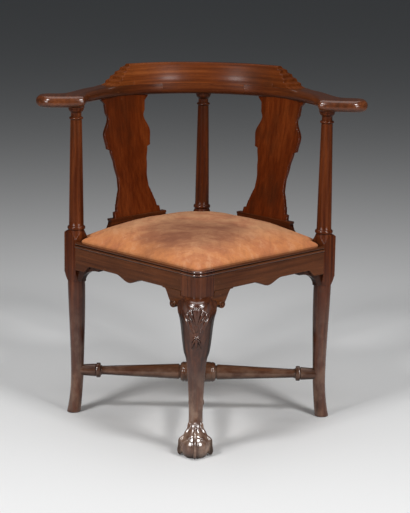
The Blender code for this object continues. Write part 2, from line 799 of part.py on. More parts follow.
def seat_rail(name, start_block, end_block, is_shaped):
    """One rail between two corners: bead lip, rebate, tenons and a straight or shaped edge."""
    start = -(HALF_SIDE - start_block - CLEARANCE)
    end = HALF_SIDE - end_block - CLEARANCE
    bottom = RAIL_BOTTOM - (APRON_DROP if is_shaped else 0)
    lip_inner = OUTER_FACE - LIP_WIDTH
    profile = [(INNER_FACE, bottom), (OUTER_FACE, bottom)]
    profile += [(OUTER_FACE + proud, RAIL_TOP - below) for proud, below in LIP_MOULDING]
    profile += [(lip_inner, RAIL_TOP), (lip_inner, REBATE), (INNER_FACE, REBATE)]
    rings = [[(x, y, z) for y, z in profile] for x in (start, end)]
    rail = loft(name + "_rail", rings, name)
    if is_shaped:
        steps = 14
        run = [APRON_DROP_WIDTH * (step / steps - 0.5) for step in range(steps + 1)]
        outline = [(start - PASS, RAIL_BOTTOM)]
        outline += [(x, apron_height(x)) for x in run]
        outline += [(end + PASS, RAIL_BOTTOM), (end + PASS, bottom - PASS), (start - PASS, bottom - PASS)]
        cut(rail, standing_board(name + "_apron", outline, INNER_FACE - PASS, OUTER_FACE + PASS, name))
    for side, block_in in ((-1, start_block), (1, end_block)):
        low, high = rail_tenon(side, block_in, 0)
        join(rail, box(f"{name}_tenon_{side}", low, high, name))
    return finished(rail, MAHOGANY)


def cut_mortises(post, name, side, block_in):
    """Cut a rail's mortise into the post or leg at one of its ends."""
    low, high = rail_tenon(side, block_in, CLEARANCE)
    cut(post, box(f"{name}_mortise_{side}", low, high, name))


def knee_bracket(name, rail, side):
    """A scrolled ear beside the knee, swelling from the rail's face to the knee."""
    root = HALF_SIDE - FRONT_BLOCK_IN - CLEARANCE
    top = RAIL_BOTTOM - CLEARANCE
    scroll_x = root - KNEE_BRACKET_LENGTH * 0.28
    scroll_z = top - KNEE_BRACKET_HEIGHT + SCROLL_RADIUS
    edge = SCROLL_RADIUS * 0.3
    stations = 10
    rings = []
    for i in range(stations + 1):
        share = i / stations
        x = root - KNEE_BRACKET_LENGTH * (1 - share)
        fall = smooth((share - 0.10) / 0.52)
        low = top - edge - (KNEE_BRACKET_HEIGHT * 0.80 - edge) * fall
        swell = KNEE_BRACKET_SWELL * smooth((share - 0.45) / 0.55)
        tall = top - low
        profile = [
            (INNER_FACE, low),
            (OUTER_FACE + swell * 0.9 - edge * 0.3, low),
            (OUTER_FACE + swell, low + tall * 0.15),
            (OUTER_FACE + swell * 0.9, low + tall * 0.50),
            (OUTER_FACE, low + tall * 0.85),
            (OUTER_FACE, top),
            (INNER_FACE, top),
        ]
        rings.append([(side * x, y, z) for y, z in profile])
    bracket = loft(name, rings, rail)
    start = (side * scroll_x, INNER_FACE + PASS, scroll_z)
    end = (side * scroll_x, OUTER_FACE + KNEE_BRACKET_SWELL * 0.75, scroll_z)
    join(bracket, rod(name + "_scroll", start, end, SCROLL_RADIUS, rail))
    return finished(bracket, MAHOGANY)


def spandrel_bracket(name, rail, side):
    """A small curved bracket under a front rail, against the post."""
    root = HALF_SIDE - BLOCK_SIDE / 2 - CLEARANCE
    top = RAIL_BOTTOM - CLEARANCE
    tip = root - SPANDREL_LENGTH
    foot = top - SPANDREL_HEIGHT
    steps = 7
    outline = [(side * root, top), (side * tip, top)]
    for step in range(steps + 1):
        angle = pi / 2 * step / steps
        x = tip + (SPANDREL_LENGTH - SPANDREL_LIP * 2) * sin(angle)
        z = foot + (SPANDREL_HEIGHT - SPANDREL_LIP) * cos(angle)
        outline.append((side * x, z))
    outline.append((side * root, foot))
    middle = (INNER_FACE + OUTER_FACE) / 2
    near = middle - SPANDREL_THICKNESS / 2
    return finished(standing_board(name, outline, near, near + SPANDREL_THICKNESS, rail), MAHOGANY)


def corner_block(corner, block_in):
    """A glue block in the inner angle of two rails, cut round the post."""
    side_p, side_q = CORNERS[corner]
    wall = INNER_FACE - CLEARANCE
    post = HALF_SIDE - block_in - CLEARANCE
    end = post - CORNER_BLOCK_LEG
    plan = [(post, wall), (end, wall), (wall, end), (wall, post), (post, post)]
    outline = [(side_p * p, side_q * q) for p, q in plan]
    top = REBATE - CLEARANCE
    block = lying_board(corner + "_corner_block", outline, top - CORNER_BLOCK_HEIGHT, top)
    return finished(block, BEECH)


# Arms and crest

def polar(radius, angle, side):
    """A plan point at an angle round from the back."""
    return Vector((side * radius * sin(angle), radius * cos(angle)))


def arm_stations(side):
    """Pairs of inner and outer plan points of one arm, with the thickness share of each."""
    stations = []
    joint = ARM_JOINT_ANGLE + CLEARANCE / ARM_INNER
    sweep_rings = 8
    for i in range(sweep_rings + 1):
        angle = joint + (ARM_SWEEP_ANGLE - joint) * i / sweep_rings
        stations.append((polar(ARM_INNER, angle, side), polar(ARM_OUTER, angle, side), 1, angle))
    paddle = HALF_DIAGONAL + PADDLE_REACH - PADDLE_WIDTH / 2
    half = PADDLE_WIDTH / 2
    back_end = Vector((side * paddle, half - PADDLE_SET))
    front_end = Vector((side * paddle, -half - PADDLE_SET))
    back_start = polar(ARM_OUTER, ARM_SWEEP_ANGLE, side)
    heading = Vector((side * cos(ARM_SWEEP_ANGLE), -sin(ARM_SWEEP_ANGLE)))
    back_leave = back_start + heading * PADDLE_WIDTH * 0.8
    back_arrive = back_end - Vector((side * half * 0.8, 0))
    cusp = Vector((side * (HALF_DIAGONAL - CUSP_SET), -CUSP_FORWARD))
    front_leave = cusp.lerp(Vector((cusp.x, front_end.y)), 0.85)
    front_arrive = front_end - Vector((side * half, 0))
    turn_rings = 8
    arc_ring = 3
    cusp_ring = 5
    for i in range(1, turn_rings + 1):
        outer = bezier(back_start, back_leave, back_arrive, back_end, i / turn_rings)
        if i <= arc_ring:
            share = i / arc_ring
            angle = ARM_SWEEP_ANGLE + (CUSP_ANGLE - ARM_SWEEP_ANGLE) * share
            inner = polar(ARM_INNER + CUSP_EASE * smooth(share), angle, side)
        elif i <= cusp_ring:
            share = (i - arc_ring) / (cusp_ring - arc_ring)
            inner = polar(ARM_INNER + CUSP_EASE, CUSP_ANGLE, side).lerp(cusp, share)
        else:
            share = (i - cusp_ring) / (turn_rings - cusp_ring)
            inner = bezier(cusp, front_leave, front_arrive, front_end, share)
        stations.append((inner, outer, 1, CUSP_ANGLE))
    nose = ARM_THICKNESS / 2
    for angle in (radians(62), radians(40), radians(24), radians(11)):
        back = half * (1 - cos(angle))
        thickness = sqrt(max(1 - max(1 - back / nose, 0) ** 2, 0))
        centre = Vector((side * paddle, -PADDLE_SET))
        reach = Vector((side * half * cos(angle), half * sin(angle)))
        front = Vector((reach.x, -reach.y))
        stations.append((centre + front, centre + reach, thickness, CUSP_ANGLE))
    return stations


def arm_piece(name, stations):
    """A length of the horseshoe arm skinned over its stations, flat-topped under the crest."""
    middle_height = ARM_UNDERSIDE + ARM_THICKNESS / 2
    rings = []
    for inner, outer, share, angle in stations:
        across = (outer - inner).normalized()
        centre = (inner + outer) / 2
        thickness = ARM_THICKNESS * share
        bare = smooth((angle - CREST_END_ANGLE) / radians(8))
        top_radius = CLEARANCE + (ARM_TOP_RADIUS - CLEARANCE) * bare
        profile = rounded_section((outer - inner).length, thickness, ARM_EDGE_RADIUS, top_radius)
        base = middle_height - thickness / 2
        rings.append([(*(centre + across * x), base + z) for x, z in profile])
    return loft(name, rings, "chair")


def arm_back():
    """The middle length of the arm over the rear post, with a dowel at each end."""
    rings = 8
    stations = []
    for i in range(rings + 1):
        angle = ARM_JOINT_ANGLE * (2 * i / rings - 1)
        stations.append((polar(ARM_INNER, angle, 1), polar(ARM_OUTER, angle, 1), 1, 0))
    return arm_piece("arm_back", stations)


def dowel_joint(back, half, side):
    """Dowel a side arm to the middle length: the dowel on one, its hole in the other."""
    height = ARM_UNDERSIDE + ARM_THICKNESS / 2
    start = polar(HALF_DIAGONAL, ARM_JOINT_ANGLE, side)
    heading = Vector((side * cos(ARM_JOINT_ANGLE), -sin(ARM_JOINT_ANGLE)))
    root = start - heading * PASS
    tip = start + heading * ARM_DOWEL_LENGTH
    hole_tip = tip + heading * CLEARANCE
    radius = ARM_DOWEL_D / 2
    join(back, rod(f"arm_dowel_{side}", (*root, height), (*tip, height), radius))
    cut(half, rod(f"arm_dowel_hole_{side}", (*root, height), (*hole_tip, height), radius + CLEARANCE))


def crest_profile():
    """The crest's section: distance from the chair's axis and share of its height."""
    depth = ARM_WIDTH
    return (
        (ARM_INNER, 0.00),
        (ARM_INNER + depth * 0.030, 0.20),
        (ARM_INNER + depth * 0.070, 0.40),
        (ARM_INNER + depth * 0.120, 0.60),
        (ARM_INNER + depth * 0.185, 0.78),
        (ARM_INNER + depth * 0.270, 0.92),
        (ARM_INNER + depth * 0.380, 1.00),
        (ARM_INNER + depth * 0.58, 1.00),
        (ARM_INNER + depth * 0.73, 0.93),
        (ARM_INNER + depth * 0.84, 0.72),
        (ARM_INNER + depth * 0.93, 0.38),
        (ARM_OUTER - depth * 0.01, 0.00),
    )


def crest_heights():
    """Angles from the back and height shares of one side, full height down the stepped end."""
    rows = []
    full_rings = 5
    for i in range(full_rings):
        rows.append((CREST_FULL_ANGLE * i / full_rings, 1.0))
    step_angle = (CREST_END_ANGLE - CREST_FULL_ANGLE) / CREST_STEPS
    for step in range(CREST_STEPS):
        angle = CREST_FULL_ANGLE + step_angle * step
        height = 1 - step / CREST_STEPS
        rows.append((angle, height))
        rows.append((angle + step_angle * 0.12, height - 0.62 / CREST_STEPS))
    rows.append((CREST_END_ANGLE, 0.16 / CREST_STEPS))
    return rows


def crest_rail():
    """The raised crest on the arms, with a stepped ramp at each end."""
    one_side = crest_heights()
    rows = [(-angle, height) for angle, height in reversed(one_side[1:])] + one_side
    rings = []
    for angle, height in rows:
        ring = []
        for radius, share in crest_profile():
            x, y = polar(radius, angle, 1)
            ring.append((x, y, CREST_BASE + share * height * CREST_HEIGHT))
        rings.append(ring)
    return finished(loft("crest_rail", rings, "chair"), MAHOGANY)


def screw_rings(centre, grow):
    """Sections of one screw from its head up, or of its hole when grown."""
    head = SCREW_HEAD_D / 2 + grow
    shank = SCREW_D / 2 + grow
    base = ARM_UNDERSIDE + CLEARANCE
    low = base - (PASS if grow else 0)
    rows = (
        (head, low),
        (head, base + SCREW_HEAD_HEIGHT * 0.3),
        (shank, base + SCREW_HEAD_HEIGHT + grow),
        (shank, CREST_BASE + SCREW_BITE + grow),
    )
    sides = 8
    rings = []
    for radius, height in rows:
        turns = [2 * pi * step / sides for step in range(sides)]
        rings.append([(centre.x + radius * cos(t), centre.y + radius * sin(t), height) for t in turns])
    return rings


def crest_screws(arms, crest):
    """Screws up through the arms into the crest, and their holes."""
    for hand, side, half in zip(("left", "right"), (-1, 1), arms[:2]):
        for place, angle, held in zip(("rear", "side"), CREST_SCREW_ANGLES, (arms[2], half)):
            centre = polar(HALF_DIAGONAL + ARM_WIDTH * 0.12, angle, side)
            name = f"{hand}_{place}_crest_screw"
            finished(loft(name, screw_rings(centre, 0), "chair"), IRON)
            hole = loft(name + "_hole", screw_rings(centre, CLEARANCE), "chair")
            cut(held, hole)
            cut(crest, hole)


# Splats and shoes

def splat_line(height):
    """How far a splat's middle lies from the chair's axis at a height."""
    share = min(max((height - SHOE_TOP) / (ARM_UNDERSIDE - SHOE_TOP), 0), 1)
    return SPLAT_HEAD - (SPLAT_HEAD - SPLAT_FOOT) * (1 - share) ** SPLAT_BEND


def splat_rows():
    """Heights and half widths of a splat, from inside the shoe to inside the arm."""
    tall = ARM_UNDERSIDE - SHOE_TOP
    rows = [(SHOE_TOP - SHOE_SLOT_DEPTH + CLEARANCE, SPLAT_OUTLINE[0][1])]
    for (share, half), (next_share, next_half) in zip(SPLAT_OUTLINE, SPLAT_OUTLINE[1:]):
        steps = SPLAT_RINGS_PER_CURVE if next_share - share > 0.04 else 1
        for step in range(steps):
            part = step / steps
            height = SHOE_TOP + tall * (share + (next_share - share) * part)
            rows.append((height, half + (next_half - half) * smooth(part)))
    rows.append((ARM_UNDERSIDE, SPLAT_OUTLINE[-1][1]))
    rows.append((ARM_UNDERSIDE + SPLAT_LET_IN, SPLAT_OUTLINE[-1][1]))
    return rows


def splat(name, rail):
    """A shaped splat that leans back from its shoe to the arm."""
    rings = []
    half_thick = SPLAT_THICKNESS / 2
    for height, half in splat_rows():
        line = splat_line(height)
        near, far = line - half_thick, line + half_thick
        rings.append([(half, near, height), (half, far, height), (-half, far, height), (-half, near, height)])
    return finished(loft(name, rings, rail), MAHOGANY)


def splat_groove(name, rail):
    """The groove under an arm that takes a splat's head."""
    half_thick = SPLAT_THICKNESS / 2 + CLEARANCE
    half = SPLAT_OUTLINE[-1][1] + CLEARANCE
    low = (-half, SPLAT_HEAD - half_thick, ARM_UNDERSIDE - PASS)
    high = (half, SPLAT_HEAD + half_thick, ARM_UNDERSIDE + SPLAT_LET_IN + CLEARANCE)
    return box(name, low, high, rail)


def splat_shoe(name, rail):
    """A moulded shoe on a rear rail, slotted for its splat."""
    rows = (
        (0.00, 0.0),
        (0.28, 0.0),
        (0.34, 0.35),
        (0.62, 0.85),
        (0.80, 1.0),
        (0.86, 0.7),
        (1.00, 0.7),
    )
    rings = []
    for share, inset in rows:
        half = SHOE_LENGTH / 2 - SHOE_MOULDING * inset
        near = SHOE_INNER
        far = SHOE_INNER + SHOE_DEPTH - SHOE_MOULDING * 0.4 * inset
        height = SHOE_BASE + SHOE_HEIGHT * share
        rings.append([(half, near, height), (half, far, height), (-half, far, height), (-half, near, height)])
    shoe = loft(name, rings, rail)
    half_thick = SPLAT_THICKNESS / 2 + CLEARANCE
    half = SPLAT_OUTLINE[0][1] + CLEARANCE
    low = (-half, SPLAT_FOOT - half_thick, SHOE_TOP - SHOE_SLOT_DEPTH)
    high = (half, SPLAT_FOOT + half_thick, SHOE_TOP + PASS)
    cut(shoe, box(name + "_slot", low, high, rail))
    return finished(shoe, MAHOGANY)


# Turned stretchers

def stretcher_half(axis_end, surface):
    """Radii along one arm of a stretcher, from a leg's middle in to where its shaft is thickest."""
    ring = surface - STRETCHER_RING_SET
    ring_r = STRETCHER_RING_D / 2
    thin = SHAFT_THIN_D / 2
    thick = SHAFT_D / 2
    shaft_end = BOSS_HALF_LENGTH + 0.010
    shaft_start = ring - 0.021
    rows = [
        (STRETCHER_END_D / 2, axis_end),
        (STRETCHER_END_D / 2, surface),
        (ring_r * 0.84, ring + 0.007),
        (ring_r * 0.97, ring + 0.004),
        (ring_r, ring),
        (ring_r * 0.97, ring - 0.004),
        (thin * 1.04, ring - 0.009),
        (thin, shaft_start),
    ]
    for share in (0.35, 0.7, 1.0):
        rows.append((thin + (thick - thin) * share**0.9, shaft_start + (shaft_end - shaft_start) * share))
    return rows


def boss_half():
    """Radii of the boss at the crossing, from its groove in to its middle."""
    radius = BOSS_D / 2
    return [
        (SHAFT_D / 2, BOSS_HALF_LENGTH + 0.004),
        (radius * 0.80, BOSS_HALF_LENGTH),
        (radius * 0.93, BOSS_HALF_LENGTH * 0.88),
        (radius * 0.99, BOSS_HALF_LENGTH * 0.70),
        (radius, BOSS_HALF_LENGTH * 0.40),
    ]


def bar_between(name, start, end, radius):
    """A round tenon along a stretcher, level with it."""
    return rod(name, (*start, STRETCHER_HEIGHT), (*end, STRETCHER_HEIGHT), radius)


def scribe(target, corner):
    """Hollow a stretcher's end to sit against a leg."""
    grow = CLEARANCE * 1.1
    if corner == "front":
        rings = front_leg_rings(grow)
    else:
        rows = [row for row in post_rows() if row[0] <= LEG_TOP]
        rings = post_rings(corner, rows, grow)
    cut(target, loft(corner + "_leg_scribe", rings))


def end_tenon(target, leg, name, direction, surface):
    """Tenon a stretcher into a leg: the tenon on one, the mortise in the other."""
    inside = surface - PASS
    tip = surface + STRETCHER_TENON_LENGTH
    way = Vector(direction)
    radius = STRETCHER_TENON_D / 2
    join(target, bar_between(name + "_tenon", way * inside, way * tip, radius))
    cut(leg, bar_between(name + "_mortise", way * inside, way * (tip + CLEARANCE), radius + CLEARANCE))


def leg_at_stretcher(corner):
    """Distance of a leg's middle and of its inner side from the chair's axis at the stretcher."""
    if corner == "front":
        _, front, back, _ = front_leg_station(STRETCHER_HEIGHT)
        return HALF_DIAGONAL + (front + back) / 2, (front - back) / 2
    return HALF_DIAGONAL + leg_shift(STRETCHER_HEIGHT), leg_diameter(STRETCHER_HEIGHT) / 2


def cross_stretcher(legs):
    """The long stretcher from side to side, with the boss that takes the two short ones."""
    middle, radius = leg_at_stretcher("left")
    surface = middle - radius
    half = stretcher_half(middle, surface) + boss_half()
    profile = [(0, middle)] + half + [(r, -x) for r, x in reversed(half)] + [(0, -middle)]
    bar = turned("cross_stretcher", profile, STRETCHER_SIDES)
    bar.location.z = STRETCHER_HEIGHT
    bar.rotation_euler.y = pi / 2
    for corner, side in (("left", -1), ("right", 1)):
        scribe(bar, corner)
        end_tenon(bar, legs[corner], corner + "_stretcher", (side, 0), surface)
    return finished(bar, MAHOGANY)


def short_stretcher(corner, side, leg, boss):
    """A half stretcher from the front or rear leg to the boss."""
    middle, radius = leg_at_stretcher(corner)
    surface = middle - radius
    half = stretcher_half(middle, surface)
    profile = [(0, middle)] + half + [(half[-1][0], 0), (0, 0)]
    bar = turned(corner + "_stretcher", profile, STRETCHER_SIDES)
    bar.location.z = STRETCHER_HEIGHT
    bar.rotation_euler.x = -side * pi / 2
    scribe(bar, corner)
    reach = BOSS_HALF_LENGTH
    start = (-reach, 0, STRETCHER_HEIGHT)
    end = (reach, 0, STRETCHER_HEIGHT)
    cut(bar, rod(corner + "_boss_scribe", start, end, (BOSS_D / 2 + CLEARANCE) / cos(pi / 32), sides=32))
    end_tenon(bar, leg, corner + "_stretcher", (0, side), surface)
    way = Vector((0, side))
    root = BOSS_D / 2 + PASS
    tip = BOSS_D / 2 - STRETCHER_TENON_LENGTH
    radius = STRETCHER_TENON_D / 2
    join(bar, bar_between(corner + "_boss_tenon", way * root, way * tip, radius))
    mortise_tip = tip - CLEARANCE
    cut(boss, bar_between(corner + "_boss_mortise", way * root, way * mortise_tip, radius + CLEARANCE))
    return finished(bar, MAHOGANY)


# Drop-in seat

def seat_plan(inset):
    """The loose seat's plan, notched round the posts and rounded at the front corner."""
    outer = SEAT_OUTER - inset
    notch = SEAT_NOTCH - inset
    radius = SEAT_CORNER_RADIUS - inset if inset < SEAT_CORNER_RADIUS * 0.7 else SEAT_CORNER_RADIUS * 0.3
    plan = []
    for corner, ways in (
        ("front", ((1, -1), (1, 1))),
        ("right", ((1, 1), (-1, 1))),
        ("rear", ((-1, 1), (-1, -1))),
        ("left", ((-1, -1), (1, -1))),
    ):
        start, end = (Vector(way) for way in ways)
        first = outer - radius if corner == "front" else notch
        last = outer - radius if corner == "left" else notch
        if corner == "front":
            plan.append(start * (outer - radius * (1 - sqrt(0.5))))
        else:
            plan.append(start * notch)
        along = (end - start) / 2
        across = (end + start) / 2
        for step in range(SEAT_SIDE_POINTS):
            share = step / (SEAT_SIDE_POINTS - 1)
            plan.append(across * outer + along * (-first + (first + last) * share))
    return plan


def crown_ring(inset, lowered, share):
    """A ring of the crowned top: the plan drawn in towards the middle and raised."""
    plan = seat_plan(inset)
    level = SEAT_EDGE - lowered + SEAT_CROWN * (1 - share**4) ** 1.2
    ring = []
    for point in plan:
        c, s = abs(point.x) / point.length, abs(point.y) / point.length
        soft = (SEAT_OUTER - inset) * (c**3 + s**3) ** (-1 / 3)
        keep = share**8
        reach = share * (point.length * keep + soft * (1 - keep))
        ring.append((*(point.normalized() * reach), level - SEAT_BASE))
    return ring


def crown_shares():
    """Ring sizes from the edge in, closer together near the edge."""
    return [cos(pi / 2 * step / SEAT_RINGS) for step in range(SEAT_RINGS)]


def level_ring(inset, height):
    """The seat's plan at one height, in the seat's own axes."""
    return [(*point, height - SEAT_BASE) for point in seat_plan(inset)]


def domed(name, rings, finish):
    """A soft solid skinned over rings whose last ring closes on a point at its middle."""
    bm = bmesh.new()
    rows = [[bm.verts.new(point) for point in ring] for ring in rings]
    for lower, upper in zip(rows, rows[1:]):
        for i, corner in enumerate(lower):
            j = (i + 1) % len(lower)
            bm.faces.new((corner, lower[j], upper[j], upper[i]))
    bm.faces.new(rows[0][::-1])
    bm.faces.new(rows[-1])
    return finished(placed(name, mesh_from(name, bm), "drop_in_seat"), finish)


def stuffing_pad():
    """The crowned stuffing under the leather."""
    inset = LEATHER + CLEARANCE
    rings = [level_ring(inset, PAD_BOTTOM)]
    rings += [crown_ring(inset, inset, share) for share in crown_shares()]
    return domed("stuffing_pad", rings, HAIR)


def leather_cover():
    """The leather over the crown, down the frame's edge and turned in below it."""
    outside = [crown_ring(0, 0, share) for share in reversed(crown_shares())]
    outside.append(level_ring(0, SEAT_BASE))
    turned_in = [level_ring(LEATHER_TURN_IN, SEAT_BASE), level_ring(LEATHER_TURN_IN, SEAT_BASE + LEATHER)]
    inside = [level_ring(LEATHER, SEAT_BASE + LEATHER)]
    inside += [crown_ring(LEATHER, LEATHER, share) for share in crown_shares()]
    return domed("leather_cover", outside + turned_in + inside, TAN_LEATHER)


def seat_frame_plan(along_sign):
    """Plan of one long seat-frame rail, at -q for -1 and at +q for +1."""
    outer = SEAT_OUTER - FRAME_INSET
    notch = SEAT_NOTCH - FRAME_INSET
    inner = outer - SEAT_RAIL_WIDTH
    sign = along_sign
    if sign > 0:
        return [(-outer, inner), (outer, inner), (outer, notch), (notch, notch), (notch, outer),
                (-notch, outer), (-notch, notch), (-outer, notch)]
    ease = SEAT_CORNER_RADIUS
    return [(outer, -inner), (-outer, -inner), (-outer, -notch), (-notch, -notch), (-notch, -outer),
            (outer - ease, -outer), (outer, -outer + ease)]


def seat_frame():
    """The loose seat's four rails, the short pair tenoned into the long pair."""
    low = SEAT_FRAME_BOTTOM - SEAT_BASE
    high = SEAT_FRAME_TOP - SEAT_BASE
    outer = SEAT_OUTER - FRAME_INSET
    inner = outer - SEAT_RAIL_WIDTH
    longs = {}
    for name, sign in (("seat_rail_front_left", -1), ("seat_rail_rear_right", 1)):
        longs[sign] = lying_board(name, seat_frame_plan(sign), low, high, "drop_in_seat")
    middle = (low + high) / 2
    half_thick = SEAT_TENON_THICKNESS / 2
    for name, sign in (("seat_rail_front_right", 1), ("seat_rail_rear_left", -1)):
        near, far = sorted((sign * inner, sign * outer))
        reach = inner - CLEARANCE
        rail = box(name, (near, -reach, low), (far, reach, high), "drop_in_seat")
        edge = SEAT_RAIL_WIDTH / 2
        tenon_p = sign * (outer - SEAT_RAIL_WIDTH + edge / 2)
        for end in (-1, 1):
            start_q, end_q = end * (reach - PASS), end * (inner + SEAT_TENON_LENGTH)
            low_q, high_q = sorted((start_q, end_q))
            corners = ((tenon_p - edge / 2, low_q, middle - half_thick), (tenon_p + edge / 2, high_q, middle + half_thick))
            join(rail, box(f"{name}_tenon_{end}", *corners, "drop_in_seat"))
            grown = [[value + way * CLEARANCE for value in corner] for corner, way in zip(corners, (-1, 1))]
            cut(longs[end], box(f"{name}_mortise_{end}", *grown, "drop_in_seat"))
        finished(rail, BEECH)
    for rail in longs.values():
        finished(rail, BEECH)


def webbing():
    """Straps across the seat frame, woven into one mat."""
    reach = SEAT_NOTCH
    half = WEBBING_WIDTH / 2
    mat = None
    for step in (-1, 0, 1):
        place = step * WEBBING_PITCH
        for across, base in ((False, LOWER_WEB), (True, UPPER_WEB)):
            low, high = (-reach, place - half), (reach, place + half)
            if across:
                low, high = low[::-1], high[::-1]
            bottom = base - SEAT_BASE
            name = f"webbing_{step}_{int(across)}" if mat else "webbing"
            strap = box(name, (*low, bottom), (*high, bottom + WEBBING_THICKNESS), "drop_in_seat")
            if mat:
                join(mat, strap)
            else:
                mat = strap
    return finished(mat, JUTE)


def base_cloth():
    """The sheet between the webbing and the stuffing."""
    outline = [tuple(point) for point in seat_plan(CLOTH_INSET)]
    low = CLOTH_BOTTOM - SEAT_BASE
    return finished(lying_board("base_cloth", outline, low, low + CLOTH_THICKNESS, "drop_in_seat"), HESSIAN)


# Assembly

def build_frame():
    """Posts, leg, rails, brackets and stretchers."""
    legs = {corner: corner_post(corner) for corner in ("left", "right", "rear")}
    legs["front"] = front_leg()
    post_in = BLOCK_SIDE / 2
    seat_rail("rear_right", post_in, post_in, False)
    seat_rail("rear_left", post_in, post_in, False)
    seat_rail("front_left", FRONT_BLOCK_IN, post_in, True)
    seat_rail("front_right", post_in, FRONT_BLOCK_IN, True)
    for rail, start, end in (
        ("rear_right", "rear", "right"),
        ("rear_left", "left", "rear"),
        ("front_left", "front", "left"),
        ("front_right", "right", "front"),
    ):
        for corner, side in ((start, -1), (end, 1)):
            cut_mortises(legs[corner], rail, side, FRONT_BLOCK_IN if corner == "front" else post_in)
    knee_bracket("knee_bracket_left", "front_left", -1)
    knee_bracket("knee_bracket_right", "front_right", 1)
    spandrel_bracket("left_spandrel_bracket", "front_left", 1)
    spandrel_bracket("right_spandrel_bracket", "front_right", -1)
    for corner in CORNERS:
        corner_block(corner, FRONT_BLOCK_IN if corner == "front" else post_in)
    boss = cross_stretcher(legs)
    short_stretcher("front", -1, legs["front"], boss)
    short_stretcher("rear", 1, legs["rear"], boss)


def build_back():
    """Arms, crest, splats and shoes."""
    arms = [arm_piece("left_arm", arm_stations(-1)), arm_piece("right_arm", arm_stations(1)), arm_back()]
    tenon = POST_TENON_D / 2 + CLEARANCE
    top = ARM_UNDERSIDE + POST_TENON_LENGTH + CLEARANCE
    sockets = (("left", (-HALF_DIAGONAL, 0)), ("right", (HALF_DIAGONAL, 0)), ("rear", (0, HALF_DIAGONAL)))
    for piece, (name, place) in zip(arms, sockets):
        cut(piece, rod(name + "_socket", (*place, ARM_UNDERSIDE - PASS), (*place, top), tenon))
    for side, half in zip((-1, 1), arms):
        dowel_joint(arms[2], half, side)
    for half, rail in zip(arms, ("rear_left", "rear_right")):
        side = rail.removeprefix("rear_")
        cut(half, splat_groove(side + "_splat_groove", rail))
        splat(side + "_splat", rail)
        splat_shoe(side + "_splat_shoe", rail)
    crest = crest_rail()
    crest_screws(arms, crest)
    for piece in arms:
        finished(piece, MAHOGANY)


def build_seat():
    """The drop-in seat, which lifts straight up by SEAT_LIFT."""
    seat_frame()
    webbing()
    base_cloth()
    stuffing_pad()
    leather_cover()


build_frame()
build_back()
build_seat()
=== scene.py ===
"""Corner armchair in waxed mahogany with a worn leather drop-in seat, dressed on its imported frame."""

import logging
from collections.abc import Sequence
from dataclasses import dataclass
from enum import Enum
from math import atan2, cos, hypot, pi, radians, sin, sqrt
from typing import Any

import bmesh
import bpy
from bmesh.types import BMesh
from bpy.types import Material, Mesh, NodeSocket, Object
from mathutils import Matrix, Vector, noise


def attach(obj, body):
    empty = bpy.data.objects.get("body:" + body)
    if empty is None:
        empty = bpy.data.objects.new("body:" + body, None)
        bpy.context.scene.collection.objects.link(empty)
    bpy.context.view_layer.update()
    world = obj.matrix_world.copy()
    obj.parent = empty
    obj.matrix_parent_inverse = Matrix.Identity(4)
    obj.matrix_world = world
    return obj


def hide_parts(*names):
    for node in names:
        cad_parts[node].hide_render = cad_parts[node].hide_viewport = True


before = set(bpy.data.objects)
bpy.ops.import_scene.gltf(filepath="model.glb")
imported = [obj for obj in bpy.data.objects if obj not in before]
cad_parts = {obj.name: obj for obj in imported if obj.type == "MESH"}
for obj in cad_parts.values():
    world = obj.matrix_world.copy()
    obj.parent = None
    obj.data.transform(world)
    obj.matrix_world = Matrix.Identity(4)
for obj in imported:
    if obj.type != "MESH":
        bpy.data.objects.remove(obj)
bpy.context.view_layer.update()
log = logging.getLogger("corner_armchair")

Colour = tuple[float, float, float]
Pair = tuple[float, float]
Ring = list[Vector]
Row = tuple[float, ...]
Section = tuple[float, float, bool, float]
Station = tuple[Vector, Vector, float, float]


# Shared sizes and curves

@dataclass(frozen=True)
class ChairPlan:
    """Main places that the sub-assemblies share, in metres."""

    half_diagonal: float = 0.290
    shift: float = 0.0152
    block_half: float = 0.020
    front_block_in: float = 0.032
    rail_top: float = 0.420
    rail_bottom: float = 0.369
    rail_thickness: float = 0.026
    rebate: float = 0.402
    lip_width: float = 0.013
    arm_underside: float = 0.735
    arm_thickness: float = 0.027
    clearance: float = 0.0003
    stretcher_height: float = 0.1035

    @property
    def half_side(self) -> float:
        """Half the side of the square that the post lines stand on."""
        return self.half_diagonal / sqrt(2)

    @property
    def outer_face(self) -> float:
        """Outer face of the rails, from the middle of the seat."""
        return self.half_side + self.block_half

    @property
    def inner_face(self) -> float:
        """Inner face of the rails, from the middle of the seat."""
        return self.outer_face - self.rail_thickness

    def at(self, x: float, y: float, z: float) -> Vector:
        """A point given from the middle of the chair."""
        return Vector((x, y + self.shift, z))

    def square(self, p: float, q: float, z: float) -> Vector:
        """A point given along the seat's two sides."""
        return self.at((p + q) / sqrt(2), (q - p) / sqrt(2), z)

    def rail(self, turn: float, along: float, out: float, z: float) -> Vector:
        """A point given along a rail and outwards from the middle of the seat.

        Args:
            turn: Which side of the square the rail is on, as an angle.
            along: Place along the rail.
            out: Distance outwards.
            z: Height.

        Returns:
            The point in the chair's frame.
        """
        c, s = cos(turn), sin(turn)
        return self.square(c * along - s * out, s * along + c * out, z)

    def round(self, radius: float, angle: float, z: float) -> Vector:
        """A point at an angle round from the back of the chair."""
        return self.at(radius * sin(angle), radius * cos(angle), z)


PLAN = ChairPlan()


class Rail(Enum):
    """The four sides of the seat, each with its turn about the middle."""

    REAR_RIGHT = 0.0
    REAR_LEFT = pi / 2
    FRONT_LEFT = pi
    FRONT_RIGHT = -pi / 2


def eased(share: float) -> float:
    """Ease a share from 0 to 1."""
    share = min(max(share, 0.0), 1.0)
    return share * share * (3 - 2 * share)


def spread(count: int) -> list[float]:
    """Even shares from 0 to 1."""
    return [i / count for i in range(count + 1)]


